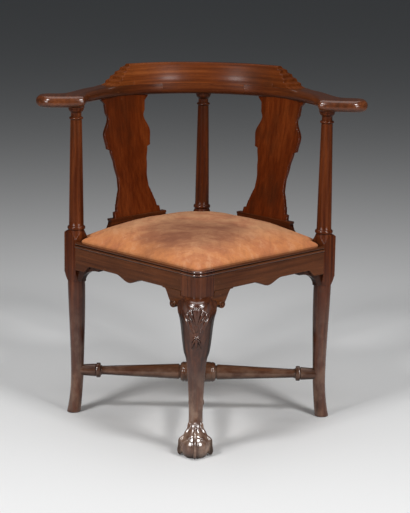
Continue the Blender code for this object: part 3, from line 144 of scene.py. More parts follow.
def between(low: float, high: float, share: float) -> float:
    """A value part of the way between two."""
    return low + (high - low) * share


def through(stations: Sequence[Row], place: float) -> list[float]:
    """Smooth values at a place, through rows that each start with their own place.

    Args:
        stations: Rows of a place and the values there.
        place: Where the values are wanted.

    Returns:
        The values, without the place.
    """
    last = len(stations) - 1
    index = 0
    while index < last - 1 and place > stations[index + 1][0]:
        index += 1
    before = stations[max(index - 1, 0)]
    here = stations[index]
    there = stations[index + 1]
    after = stations[min(index + 2, last)]
    span = there[0] - here[0]
    t = (place - here[0]) / span
    values = []
    for k in range(1, len(here)):
        leaving = (there[k] - before[k]) / (there[0] - before[0]) * span
        arriving = (after[k] - here[k]) / (after[0] - here[0]) * span
        rise = (2 * t**3 - 3 * t**2 + 1) * here[k] + (3 * t**2 - 2 * t**3) * there[k]
        values.append(rise + (t**3 - 2 * t**2 + t) * leaving + (t**3 - t**2) * arriving)
    return values


def bezier(points: Sequence[Vector], share: float) -> Vector:
    """A point on a cubic curve of four points.

    Args:
        points: The curve's points.
        share: How far along it.

    Returns:
        The point.
    """
    rest = 1 - share
    weights = (rest**3, 3 * rest**2 * share, 3 * rest * share**2, share**3)
    return sum((point * weight for point, weight in zip(points, weights)), Vector((0, 0)))


def bead(middle: float, half_height: float, neck: float, proud: float, steps: int = 8) -> list[Pair]:
    """A half-round bead on a turning.

    Args:
        middle: Place of the bead along the turning.
        half_height: Half its length.
        neck: Radius at its ends.
        proud: How far it stands out.
        steps: Number of steps across it.

    Returns:
        Pairs of place and radius.
    """
    angles = [pi * (share - 0.5) for share in spread(steps)]
    return [(middle + half_height * sin(angle), neck + proud * cos(angle)) for angle in angles]


def rounded_section(width: float, height: float, low: float, high: float, steps: int = 7) -> list[Pair]:
    """A rectangle across and up from its own base, with rounded corners.

    Args:
        width: Size across.
        height: Size up.
        low: Radius of the low corners.
        high: Radius of the high corners.
        steps: Steps round each corner.

    Returns:
        Pairs of places across and up.
    """
    limit = min(width, height) * 0.48
    points = []
    corners = ((1, 0, low, -pi / 2), (1, 1, high, 0), (-1, 1, high, pi / 2), (-1, 0, low, pi))
    for side, top, radius, start in corners:
        radius = min(radius, limit)
        middle_x = side * (width / 2 - radius)
        middle_z = height - radius if top else radius
        angles = [start + pi / 2 * share for share in spread(steps)]
        corner = [(middle_x + radius * cos(angle), middle_z + radius * sin(angle)) for angle in angles]
        flat = (middle_x - side * min(0.002, width / 10), height if top else 0.0)
        points += corner + [flat] if (side > 0) == bool(top) else [flat] + corner
    return points


def lip_moulding() -> list[Pair]:
    """The double bead round the rail tops: how far it stands proud, and how far below the top.

    Returns:
        The pairs, from the lowest.
    """
    lower = bead(0.0098, -0.0030, -0.0008, 0.0032, 10)
    upper = bead(0.0032, -0.0026, -0.0020, 0.0030, 10)
    rows = [(0.0138, 0.0), (0.0131, -0.0010), *lower, (0.0062, -0.0024), *upper, (0.0, -0.0026)]
    return [(proud, below) for below, proud in rows]


def turns(count: int) -> list[float]:
    """Even angles once round."""
    return [2 * pi * i / count for i in range(count)]


# Meshes and pieces

def skin(bm: BMesh, rings: Sequence[Ring]) -> BMesh:
    """Skin a row of rings that have the same number of points, and close both ends.

    Args:
        bm: Where the skin is added.
        rings: The rings in order.

    Returns:
        The same bmesh.
    """
    rows = [[bm.verts.new(point) for point in ring] for ring in rings]
    for lower, upper in zip(rows, rows[1:]):
        for i, corner in enumerate(lower):
            j = (i + 1) % len(lower)
            bm.faces.new((corner, lower[j], upper[j], upper[i]))
    bm.faces.new(rows[0][::-1])
    bm.faces.new(rows[-1])
    return bm


def as_mesh(name: str, bm: BMesh, sharp: float = radians(40)) -> Mesh:
    """Close a bmesh into a mesh that is smooth but for its crisp arrises.

    Args:
        name: The mesh's name.
        bm: What is closed, and then freed.
        sharp: Angle from which an edge stays crisp.

    Returns:
        The mesh.
    """
    bmesh.ops.dissolve_degenerate(bm, dist=1e-6, edges=bm.edges)
    bmesh.ops.recalc_face_normals(bm, faces=bm.faces)
    mesh = bpy.data.meshes.new(name)
    bm.to_mesh(mesh)
    bm.free()
    mesh.shade_smooth()
    mesh.set_sharp_from_angle(angle=sharp)
    return mesh


def solid(name: str, rings: Sequence[Ring], sharp: float = radians(40)) -> Mesh:
    """A mesh of its own, skinned over a row of rings."""
    return as_mesh(name, skin(bmesh.new(), rings), sharp)


def drop_crumbs(bm: BMesh) -> None:
    """Take away every loose part of a worked skin but the largest.

    Args:
        bm: The skin, which is changed.
    """
    waiting = set(bm.verts)
    parts = []
    while waiting:
        edge = [waiting.pop()]
        part = list(edge)
        while edge:
            near = {link.other_vert(vert) for vert in edge for link in vert.link_edges}
            edge = list(near & waiting)
            waiting.difference_update(edge)
            part += edge
        parts.append(part)
    largest = max(parts, key=len)
    crumbs = [vert for part in parts if part is not largest for vert in part]
    bmesh.ops.delete(bm, geom=crumbs, context="VERTS")


def with_modifier(mesh: Mesh, kind: str, **settings: Any) -> Mesh:
    """A copy of a mesh with one modifier applied.

    Args:
        mesh: The mesh to work on.
        kind: The modifier's type.
        settings: The modifier's settings.

    Returns:
        The new mesh.
    """
    holder = bpy.data.objects.new("on_the_bench", mesh)
    bpy.context.scene.collection.objects.link(holder)
    modifier = holder.modifiers.new(kind, kind)
    for key, value in settings.items():
        setattr(modifier, key, value)
    graph = bpy.context.evaluated_depsgraph_get()
    worked = bpy.data.meshes.new_from_object(holder.evaluated_get(graph))
    bpy.data.objects.remove(holder)
    return worked


def place_piece(mesh: Mesh, material: Material, body: str, slot: str, *nodes: str) -> Object:
    """Put a mesh into the chair as a piece of the same name that rides on a body.

    Args:
        mesh: The piece's mesh, in the chair's frame.
        material: Its finish.
        body: The body it rides on.
        slot: Not used.
        nodes: The plain nodes that it stands for.

    Returns:
        The new object.
    """
    obj = bpy.data.objects.new(mesh.name, mesh)
    bpy.context.scene.collection.objects.link(obj)
    mesh.materials.clear()
    mesh.materials.append(material)
    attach(obj, body)
    if nodes:
        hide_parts(*nodes)
    log.info("%s: %d faces on %s", obj.name, len(mesh.polygons), body)
    return obj


def frame_piece(mesh: Mesh, material: Material, *nodes: str) -> None:
    """Put a mahogany piece on the chair's frame."""
    place_piece(mesh, material, "frame", "mahogany", *nodes)


def dress(material: Material, *nodes: str) -> None:
    """Give plain nodes that stay in view their finish.

    Args:
        material: Their finish.
        nodes: Their names.
    """
    for name in nodes:
        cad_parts[name].material_slots[0].material = material
        log.info("%s: dressed in %s", name, material.name)


# Shader boards

class Signal:
    """A shader socket on which arithmetic adds Math nodes."""

    def __init__(self, board: "Board", socket: NodeSocket) -> None:
        """Keep a socket with the board that it is wired on."""
        self.board = board
        self.socket = socket

    def math(self, operation: str, *terms: "Signal | float") -> "Signal":
        """Wire one Math node to the given terms."""
        return self.board.node("ShaderNodeMath", {"operation": operation}, dict(enumerate(terms)))

    def __add__(self, other: "Signal | float") -> "Signal":
        """Add a value or a signal."""
        return self.math("ADD", self, other)

    def __radd__(self, other: float) -> "Signal":
        """Add this signal to a value."""
        return self.math("ADD", other, self)

    def __sub__(self, other: "Signal | float") -> "Signal":
        """Take a value or a signal away."""
        return self.math("SUBTRACT", self, other)

    def __rsub__(self, other: float) -> "Signal":
        """Take this signal away from a value."""
        return self.math("SUBTRACT", other, self)

    def __mul__(self, other: "Signal | float") -> "Signal":
        """Multiply by a value or a signal."""
        return self.math("MULTIPLY", self, other)

    def __rmul__(self, other: float) -> "Signal":
        """Multiply a value by this signal."""
        return self.math("MULTIPLY", other, self)

    def __pow__(self, other: float) -> "Signal":
        """Raise to a power."""
        return self.math("POWER", self, other)

    def __abs__(self) -> "Signal":
        """The size without its sign."""
        return self.math("ABSOLUTE", self)

    def larger(self, other: "Signal | float") -> "Signal":
        """The larger of two."""
        return self.math("MAXIMUM", self, other)

    def rising(self, low: float, high: float) -> "Signal":
        """Rise smoothly from 0 to 1 between two values."""
        sockets = {"Value": self, "From Min": low, "From Max": high}
        return self.board.node("ShaderNodeMapRange", {"interpolation_type": "SMOOTHSTEP"}, sockets)


class Board:
    """The node tree of one finish."""

    def __init__(self, name: str) -> None:
        """Start a material with a plain shader.

        Args:
            name: The material's name.
        """
        self.material = bpy.data.materials.new(name)
        self.material.use_nodes = True
        self.tree = self.material.node_tree
        self.shader = self.tree.nodes["Principled BSDF"]

    def feed(self, socket: NodeSocket, value: Any) -> None:
        """Link a signal to a socket, or set its value.

        Args:
            socket: Where it goes.
            value: A signal, a colour or a number.
        """
        if isinstance(value, Signal):
            self.tree.links.new(value.socket, socket)
        elif isinstance(value, tuple) and len(value) == 3 and socket.type == "RGBA":
            socket.default_value = (*value, 1)
        else:
            socket.default_value = value

    def node(
        self,
        kind: str,
        settings: dict[str, Any] | None = None,
        sockets: dict[int | str, Any] | None = None,
        output: int | str = 0,
    ) -> Signal:
        """Add one node.

        Args:
            kind: The node's type.
            settings: Its settings, or the stops of its ramp, which are set first.
            sockets: Values or signals for its sockets.
            output: The output that is wanted.

        Returns:
            That output.
        """
        made = self.tree.nodes.new(kind)
        for key, value in (settings or {}).items():
            if key == "stops":
                points = made.color_ramp.elements
                while len(points) < len(value):
                    points.new(1.0)
                for point, (place, colour) in zip(points, value):
                    point.position = place
                    point.color = (*colour, 1)
            else:
                setattr(made, key, value)
        for key, value in (sockets or {}).items():
            self.feed(made.inputs[key], value)
        return Signal(self, made.outputs[output])

    def place(self, source: str = "Object") -> tuple[Signal, Signal, Signal]:
        """The piece's own coordinates in metres, or the three parts of another such vector.

        Args:
            source: The vector's name.

        Returns:
            Its three parts.
        """
        spot = self.node("ShaderNodeTexCoord", output=source)
        split = self.node("ShaderNodeSeparateXYZ", sockets={0: spot})
        x, y, z = split.socket.node.outputs
        return Signal(self, x), Signal(self, y), Signal(self, z)

    def sideways(self) -> Signal:
        """How squarely the surface faces left or right, from 0 to 1."""
        return abs(self.place("Normal")[0])

    def upward(self) -> Signal:
        """How squarely the surface faces up, from -1 to 1."""
        return self.place("Normal")[2]

    def vector(self, x: Signal | float, y: Signal | float, z: Signal | float) -> Signal:
        """Join three values into a vector."""
        return self.node("ShaderNodeCombineXYZ", sockets={0: x, 1: y, 2: z})

    def noise(self, spot: Signal, scale: float = 1.0, detail: float = 2.0, roughness: float = 0.5) -> Signal:
        """A cloudy value from 0 to 1."""
        sockets = {"Vector": spot, "Scale": scale, "Detail": detail, "Roughness": roughness}
        return self.node("ShaderNodeTexNoise", {"noise_dimensions": "3D"}, sockets)

    def cells(self, spot: Signal, scale: float, feature: str = "F1") -> Signal:
        """Distance to the nearest cell middle or cell edge."""
        sockets = {"Vector": spot, "Scale": scale}
        return self.node("ShaderNodeTexVoronoi", {"feature": feature}, sockets, "Distance")

    def mix(self, share: Signal | float, first: Any, second: Any) -> Signal:
        """Mix two colours."""
        settings = {"data_type": "RGBA", "clamp_factor": True}
        return self.node("ShaderNodeMix", settings, {0: share, 6: first, 7: second}, 2)

    def ramp(self, value: Signal, *stops: tuple[float, Colour]) -> Signal:
        """A colour for a value, from a row of stops."""
        return self.node("ShaderNodeValToRGB", {"stops": stops}, {0: value})

    def arris(self, radius: float) -> tuple[Signal, Signal]:
        """The normal with its arrises eased, and a mask that is bright along them.

        Args:
            radius: How widely they are eased.

        Returns:
            The normal and the mask.
        """
        soft = self.node("ShaderNodeBevel", {"samples": 6}, {"Radius": radius})
        plain = self.node("ShaderNodeNewGeometry", output="Normal")
        match = self.node("ShaderNodeVectorMath", {"operation": "DOT_PRODUCT"}, {0: soft, 1: plain}, "Value")
        return soft, (1 - match).rising(0.01, 0.16)

    def crevice(self, reach: float) -> Signal:
        """A mask that is bright in corners and hollows."""
        open_air = self.node("ShaderNodeAmbientOcclusion", {"samples": 8}, {"Distance": reach}, "AO")
        return (1 - open_air).rising(0.30, 0.90)

    def bump(self, height: Signal, strength: float, depth: float, normal: Signal | None = None) -> Signal:
        """A normal raised by a height.

        Args:
            height: What is raised.
            strength: How strongly.
            depth: How far, in metres.
            normal: The normal under it, where that isn't the plain one.

        Returns:
            The new normal.
        """
        sockets = {"Height": height, "Strength": strength, "Distance": depth}
        if normal:
            sockets["Normal"] = normal
        return self.node("ShaderNodeBump", {}, sockets)

    def finished(self, **sockets: Any) -> Material:
        """Wire the shader and hand the material over.

        Args:
            sockets: Values or signals, by the names of their sockets.

        Returns:
            The material.
        """
        for name, value in sockets.items():
            self.feed(self.shader.inputs[name.replace("_", " ")], value)
        return self.material


# Finishes

class Grain(Enum):
    """Which way the grain of a piece runs."""

    UPRIGHT = "upright"
    SIDEWAYS = "sideways"
    FORWARD = "forward"
    LEFT_TO_FRONT = "left to front"
    RIGHT_TO_FRONT = "right to front"
    HORSESHOE = "horseshoe"

    def axes(self, board: Board) -> tuple[Signal, Signal, Signal]:
        """Coordinates along the grain and two across it.

        Args:
            board: The finish that they are for.

        Returns:
            The three coordinates, in metres.
        """
        x, y, z = board.place()
        if self is Grain.UPRIGHT:
            return z, x, y
        if self is Grain.SIDEWAYS:
            return x, y, z
        if self is Grain.FORWARD:
            return y, x, z
        if self is Grain.HORSESHOE:
            back = y - PLAN.shift
            reach = (x * x + back * back) ** 0.5
            return x.math("ARCTAN2", x, back) * PLAN.half_diagonal, reach, z
        way = 1 if self is Grain.RIGHT_TO_FRONT else -1
        return (x + y * way) * sqrt(0.5), (x - y * way) * sqrt(0.5), z


@dataclass(frozen=True)
class Mahogany:
    """Old mahogany under many coats of wax, rubbed light on its arrises, with painted shade in its corners,
    hollows and undersides.
    """

    name: str
    grain: Grain
    deep: Colour = (0.024, 0.0048, 0.0015)
    body: Colour = (0.088, 0.0195, 0.0052)
    bright: Colour = (0.175, 0.047, 0.0135)
    rubbed: Colour = (0.260, 0.098, 0.038)
    stained: Colour = (0.030, 0.0120, 0.0048)
    # Near-black, mixed in as painted shade in corners, grooves, joints, undersides and the knee's sides.
    grime_and_shade: Colour = (0.006, 0.0028, 0.0018)
    # Pale: scuffs near the floor, with a painted glow standing for the pale floor's reflection on the lower
    # legs.
    scuff_and_glow: Colour = (0.270, 0.165, 0.112)
    gloss: float = 0.30
    wear: float = 0.50
    scuff_and_glow_share: float = 0.0
    scuff_and_glow_top: float = 0.10
    wax: float = 0.55
    polish: float = 0.20
    haze: float = 0.12
    lustre: float = 1.5
    carving: float = 0.004
    # Strength of the painted shade on the carved leg's side faces.
    painted_side_shade: float = 0.0
    handled: float = 0.0
    lip_shine: float = 0.0
    glint: float = 0.40
    start: float = 0.0

    def material(self) -> Material:
        """The finish as a material.

        Returns:
            The material.
        """
        board = Board(self.name)
        along, across, depth = self.grain.axes(board)
        along = along + self.start
        sway = board.noise(board.vector(across * 9, depth * 9, along * 2.2))
        side = across + sway * 0.024
        streak = board.noise(board.vector(side * 130, depth * 130, along * 4.5), detail=5, roughness=0.62)
        cloud = board.noise(board.vector(side * 13, depth * 13, along * 3.0), detail=3)
        pore = board.noise(board.vector(side * 1500, depth * 1500, along * 75), detail=1).rising(0.57, 0.72)
        patch = board.noise(board.vector(across * 45, depth * 45, along * 30), detail=4).rising(0.38, 0.68)
        stain = board.noise(board.vector(across * 11 + 7, depth * 11, along * 7), detail=4, roughness=0.6)
        soft, edge = board.arris(0.0012)
        corner = board.crevice(0.014)
        joint = board.crevice(0.045)
        groove = board.crevice(self.carving)
        tone = streak * 0.55 + cloud * 0.45
        wood = board.ramp(tone, (0.34, self.deep), (0.50, self.body), (0.66, self.bright))
        wood = board.mix(pore * 0.55, wood, self.deep)
        wood = board.mix(stain.rising(0.50, 0.72) * 0.42, wood, self.stained)
        wood = board.mix(edge * patch * self.wear, wood, self.rubbed)
        beside, _, height = board.place()
        nick = board.noise(board.vector(across * 260, depth * 260, along * 110), detail=3).rising(0.66, 0.74)
        wood = board.mix(nick * patch * self.wear * 0.7, wood, self.rubbed)
        # Paler towards the floor: scuffs, and a painted glow for the pale floor's reflection.
        if self.scuff_and_glow_share:
            low = 1 - height.rising(0.0, self.scuff_and_glow_top)
            wood = board.mix(low * (patch * 0.8 + 0.2) * self.scuff_and_glow_share, wood, self.scuff_and_glow)
        crowns = board.upward().rising(0.10, 0.45)
        # Mask of faces turned downwards, where painted shade goes.
        beneath = 1 - board.upward().rising(-0.75, -0.10)
        wax = (1 - height.rising(0.14, 0.44)) * self.wax + self.polish + crowns * self.glint
        # Painted shade on the knee's side faces, and the foot's outer sides darkened the same way.
        if self.painted_side_shade:
            knee = height.rising(0.212, 0.230) * (1 - height.rising(0.315, 0.335))
            claw = abs(beside).rising(0.0305, 0.0350) * (1 - height.rising(0.030, 0.050))
            shank = height.rising(0.055, 0.085) * (1 - height.rising(0.270, 0.310))
            shaded_flank = (board.sideways().rising(0.60, 0.88) * knee).larger(claw * 0.7)
            wood = board.mix(shaded_flank * self.painted_side_shade, wood, self.grime_and_shade)
            wax = wax * (1 - shaded_flank * self.painted_side_shade) * (1 - shank * 0.25)
        if self.lip_shine:
            wax = wax + height.rising(0.4055, 0.4070) * self.lip_shine
        if self.handled:
            end = abs(beside).rising(0.16, 0.30)
            wood = board.mix(end * self.handled, wood, self.rubbed)
            wax = wax + end * 0.25
        # Painted shade: darker in corners, carved grooves, joints between pieces, and on faces turned
        # downwards.
        wood = board.mix((corner * 0.75).larger(groove * 0.9).larger(joint * 0.6), wood, self.grime_and_shade)
        wood = board.mix(beneath * 0.6, wood, self.grime_and_shade)
        rough = self.gloss + streak * 0.10 + pore * 0.10 + corner * 0.22 - edge * 0.05
        normal = board.bump(streak * 0.35 - pore * 0.65, 0.20, 0.0004, soft)
        return board.finished(
            Base_Color=wood,
            Roughness=rough,
            Normal=normal,
            IOR=1.45,
            Specular_IOR_Level=0.06,
            Coat_Weight=wax - groove * 0.15,
            Coat_Roughness=self.haze,
            Coat_IOR=self.lustre,
        )


@dataclass(frozen=True)
class WornLeather:
    """Tan hide, peach at its edges, browned and polished where it is sat on."""

    name: str
    peach: Colour = (0.540, 0.205, 0.075)
    tan: Colour = (0.505, 0.245, 0.120)
    browned: Colour = (0.200, 0.072, 0.036)
    rosy: Colour = (0.410, 0.138, 0.062)
    pale: Colour = (0.620, 0.315, 0.165)
    # Dark brown: dirt in the crackle, and painted shade in creases.
    grime_and_shade: Colour = (0.150, 0.050, 0.022)
    half: float = 0.2105
    roughness: float = 0.46

    def material(self) -> Material:
        """The finish as a material.

        Returns:
            The material.
        """
        board = Board(self.name)
        x, y, z = board.place()
        back = y - PLAN.shift
        p = (x - back) * sqrt(0.5)
        q = (x + back) * sqrt(0.5)
        spot = board.vector(x, y, z)
        rim = abs(p).larger(abs(q)) * (1 / self.half)
        cloud = board.noise(spot, 9, 5, 0.62)
        blotch = board.noise(board.vector(x * 16 + 4, y * 26, z * 10), 1, 4, 0.6)
        reach = ((x + 0.02) ** 2.0 * 26 + (back + 0.105) ** 2.0 * 46) + (cloud - 0.5) * 1.1
        sat = 1 - reach.rising(0.00, 0.80)
        brush = board.noise(board.vector(x * 60 + cloud * 3, y * 22 + blotch * 3, z * 20), 1, 5, 0.7)
        speck = board.noise(spot, 420, 3).rising(0.60, 0.75)
        scuff = board.noise(board.vector(x * 30, y * 210, z * 60), 1, 3, 0.6).rising(0.56, 0.74)
        pebble = board.cells(spot, 620)
        crease = board.cells(board.vector(x + cloud * 0.02, y + blotch * 0.02, z), 55, "DISTANCE_TO_EDGE")
        crackle = 1 - crease.rising(0.0, 0.05)
        hide = board.mix(rim.rising(0.55, 0.98), self.tan, self.peach)
        hide = board.mix(blotch.rising(0.42, 0.62) * 0.62, hide, self.rosy)
        hide = board.mix(brush.rising(0.50, 0.68) * 0.50, hide, self.pale)
        hide = board.mix((1 - brush.rising(0.32, 0.50)) * 0.30, hide, self.browned)
        hide = board.mix(sat * (blotch.rising(0.25, 0.66) * 0.5 + 0.45), hide, self.browned)
        hide = board.mix(speck * 0.16, hide, self.browned)
        hide = board.mix(scuff * 0.34, hide, self.pale)
        hide = board.mix(crackle * sat * 0.25, hide, self.grime_and_shade)
        # Painted shade in the creases and where the leather meets the rails.
        hide = board.mix(board.crevice(0.010) * 0.75, hide, self.grime_and_shade)
        rough = self.roughness + blotch * 0.16 - sat * 0.08 + speck * 0.08
        height = pebble * 0.35 + cloud * 0.7 - crackle * 0.5 - scuff * 0.2
        normal = board.bump(height, 0.30, 0.0009)
        return board.finished(
            Base_Color=hide,
            Roughness=rough,
            Normal=normal,
            IOR=1.45,
            Specular_IOR_Level=0.22,
            Sheen_Weight=0.02,
        )


@dataclass(frozen=True)
class BareBeech:
    """Sawn beech, never polished, brown with age."""

    name: str
    grain: Grain
    pale: Colour = (0.460, 0.300, 0.165)
    dark: Colour = (0.270, 0.160, 0.080)

    def material(self) -> Material:
        """The finish as a material.

        Returns:
            The material.
        """
        board = Board(self.name)
        along, across, depth = self.grain.axes(board)
        streak = board.noise(board.vector(across * 160, depth * 160, along * 6), detail=4, roughness=0.6)
        fleck = board.noise(board.vector(across * 700, depth * 700, along * 180), detail=1).rising(0.60, 0.70)
        saw = board.noise(board.vector(across * 30, depth * 30, along * 900), detail=1)
        soft, _ = board.arris(0.0010)
        wood = board.ramp(streak, (0.30, self.dark), (0.62, self.pale))
        wood = board.mix(fleck * 0.35, wood, self.dark)
        # Painted shade: darker in corners and hollows.
        wood = board.mix(board.crevice(0.015) * 0.6, wood, self.dark)
        normal = board.bump(streak * 0.4 + saw * 0.4, 0.35, 0.0005, soft)
        return board.finished(Base_Color=wood, Roughness=0.60 + streak * 0.2, Normal=normal)


@dataclass(frozen=True)
class Woven:
    """Plain woven jute, as straps or as sacking, along the seat's two sides."""

    name: str
    thread: float
    warm: Colour
    shade: Colour

    def wave(self, turn: Signal) -> Signal:
        """The rise and fall of the threads at a turn."""
        return turn.math("SINE", turn)

    def material(self) -> Material:
        """The finish as a material.

        Returns:
            The material.
        """
        board = Board(self.name)
        p, q, z = Grain.RIGHT_TO_FRONT.axes(board)
        pitch = pi / self.thread
        warp, weft = (abs(self.wave(thread)) for thread in (p * pitch, q * pitch))
        over = self.wave(p * pitch * 0.5) * self.wave(q * pitch * 0.5)
        upper, lower = (board.vector(thread, thread, thread) for thread in (warp, weft))
        weave = board.mix(over.rising(-0.3, 0.3), upper, lower)
        height = board.node("ShaderNodeRGBToBW", sockets={0: weave})
        fuzz = board.noise(board.vector(p, q, z), 900, 3, 0.7)
        cloth = board.mix(height * 0.8 + fuzz * 0.3, self.shade, self.warm)
        normal = board.bump(height + fuzz * 0.5, 0.6, 0.0006)
        return board.finished(Base_Color=cloth, Roughness=0.85 + fuzz * 0.1, Normal=normal, Sheen_Weight=0.2)


@dataclass(frozen=True)
class OldIron:
    """Dark oiled iron with a little rust."""

    name: str
    metal: Colour = (0.085, 0.078, 0.072)
    rust: Colour = (0.110, 0.042, 0.018)

    def material(self) -> Material:
        """The finish as a material.

        Returns:
            The material.
        """
        board = Board(self.name)
        x, y, z = board.place()
        stain = board.noise(board.vector(x, y, z), 900, 4, 0.6)
        rusted = stain.rising(0.50, 0.66)
        colour = board.mix(rusted, self.metal, self.rust)
        normal = board.bump(stain, 0.4, 0.0002)
        return board.finished(
            Base_Color=colour, Metallic=1 - rusted * 0.8, Roughness=0.38 + rusted * 0.4, Normal=normal
        )


@dataclass(frozen=True)
class PaleFloor:
    """A plain pale studio floor."""

    name: str
    colour: Colour = (0.80, 0.80, 0.80)

    def material(self) -> Material:
        """The finish as a material."""
        board = Board(self.name)
        return board.finished(Base_Color=self.colour, Roughness=0.75, Specular_IOR_Level=0.2)


# Sub-assemblies

@dataclass
class CornerPosts:
    """Left, right and rear posts: outswept round leg, square block and turned column."""

    sides: int = 64
    block_rise: float = 0.006
    block_drop: float = 0.075
    upper_shoulder: float = 0.020
    lower_shoulder: float = 0.022
    leg_top: float = 0.0205
    ankle: float = 0.01475
    foot: float = 0.0165
    ankle_height: float = 0.060
    outsweep: float = 0.007
    sweep_height: float = 0.100
    inset: float = 0.002
    base_ring: float = 0.021
    base_ring_height: float = 0.009
    column_bottom: float = 0.01725
    column_top: float = 0.0133
    astragal: float = 0.0162
    astragal_height: float = 0.0075
    neck: float = 0.0122
    neck_height: float = 0.006
    capital: float = 0.019
    capital_height: float = 0.0165
    foot_ease: float = 0.0012
    groove: float = 0.0006
    cup: tuple[Pair, ...] = (
        (0.00, 0.640), (0.10, 0.655), (0.22, 0.690), (0.30, 0.740), (0.32, 0.790), (0.42, 0.850),
        (0.52, 0.895), (0.62, 0.925), (0.72, 0.940), (0.74, 0.905), (0.79, 0.905), (0.80, 0.985),
        (0.86, 1.000), (1.06, 1.000),
    )

    @property
    def leg_end(self) -> float:
        """Height at which the round leg meets the block's shoulder."""
        return PLAN.rail_top - self.block_drop - self.lower_shoulder

    def leg_radius(self, height: float) -> float:
        """Radius of the outswept leg at a height.

        Args:
            height: Height over the floor.

        Returns:
            The radius.
        """
        rise = eased((height - self.ankle_height) / (self.leg_end - self.ankle_height))
        flare = max(1 - height / self.ankle_height, 0) ** 2
        return self.ankle + (self.leg_top - self.ankle) * rise + (self.foot - self.ankle) * flare

    def leg_shift(self, height: float) -> float:
        """How far outwards the leg's middle lies at a height."""
        sweep = max(1 - height / self.sweep_height, 0) ** 2
        return self.outsweep * sweep - self.inset * sin(pi * min(height / self.leg_end, 1))

    def rows(self) -> list[Section]:
        """Sections from the floor up.

        Returns:
            Height, radius, whether the block's square limits it, and outward shift.
        """
        rows = [(0.0, self.leg_radius(0) - self.foot_ease, False, self.leg_shift(0))]
        for share in spread(40):
            height = between(self.foot_ease, self.leg_end, share**1.2)
            rows.append((height, self.leg_radius(height), False, self.leg_shift(height)))
        corner = PLAN.block_half * sqrt(2)
        neck_in = self.column_bottom + self.groove
        for share in spread(10)[1:]:
            height = self.leg_end + self.lower_shoulder * share
            rows.append((height, between(self.leg_top, corner, share**0.8), True, 0.0))
        block_top = PLAN.rail_top + self.block_rise
        for share in spread(14):
            height = block_top + self.upper_shoulder * share
            rows.append((height, between(corner, neck_in, share**0.75), True, 0.0))
        return rows + [(height, radius, False, 0.0) for height, radius in self.column(neck_in)]

    def column(self, neck_in: float) -> list[Pair]:
        """Heights and radii of the turned column, from its base ring to its capital.

        Args:
            neck_in: Radius of the groove under the base ring.

        Returns:
            The pairs from the block up.
        """
        base = PLAN.rail_top + self.block_rise + self.upper_shoulder
        half = self.base_ring_height / 2
        rows = bead(base + half, half, neck_in, self.base_ring - neck_in)
        start = base + self.base_ring_height * 1.08
        neck = PLAN.arm_underside - self.capital_height - self.neck_height
        end = neck - self.astragal_height
        for share in spread(24):
            radius = between(self.column_bottom, self.column_top, share**1.2)
            rows.append((between(start, end, share), radius))
        half = self.astragal_height * 0.46
        rows += bead(end + half, half, self.neck, self.astragal - self.neck)
        rows.append((neck + self.groove, self.neck))
        for share, radius in self.cup:
            rows.append((PLAN.arm_underside - self.capital_height * (1 - share), self.capital * radius))
        return rows

    def ring(self, side_p: int, side_q: int, row: Section) -> Ring:
        """One section of a post at its corner of the seat.

        Args:
            side_p: Which end of the seat's first side.
            side_q: Which end of its second.
            row: The section.

        Returns:
            The ring.
        """
        height, radius, limited, shift = row
        middle_p = side_p * (PLAN.half_side + shift / sqrt(2))
        middle_q = side_q * (PLAN.half_side + shift / sqrt(2))
        ring = []
        for turn in turns(self.sides):
            c, s = cos(turn), sin(turn)
            reach = radius
            if limited:
                outward = eased(((c * side_p + s * side_q) / sqrt(2) - 0.72) / 0.22)
                above = (height - PLAN.rail_top - self.block_rise) / self.upper_shoulder
                if above > 0:
                    full = between(PLAN.block_half * sqrt(2), radius, eased((above - 0.62) / 0.38))
                    reach = between(radius, full, outward)
                reach = min(reach, PLAN.block_half / max(abs(c), abs(s)))
            ring.append(PLAN.square(middle_p + reach * c, middle_q + reach * s, height))
        return ring

    def build(self) -> None:
        """Turn the three posts and dress them."""
        # Scuffs and a painted floor glow reach up the posts' legs.
        material = Mahogany(
            "post_mahogany", Grain.UPRIGHT, body=(0.060, 0.0115, 0.0025),
            bright=(0.138, 0.0330, 0.0080), polish=0.10, glint=0.60, start=0.35, wear=0.55, scuff_and_glow_share=0.45,
            scuff_and_glow_top=0.40, wax=0.75,
        ).material()
        for name, side_p, side_q in (("left", -1, -1), ("right", 1, 1), ("rear", -1, 1)):
            rings = [self.ring(side_p, side_q, row) for row in self.rows()]
            mesh = solid(name + "_turned_post", rings)
            frame_piece(mesh, material, name + "_post")


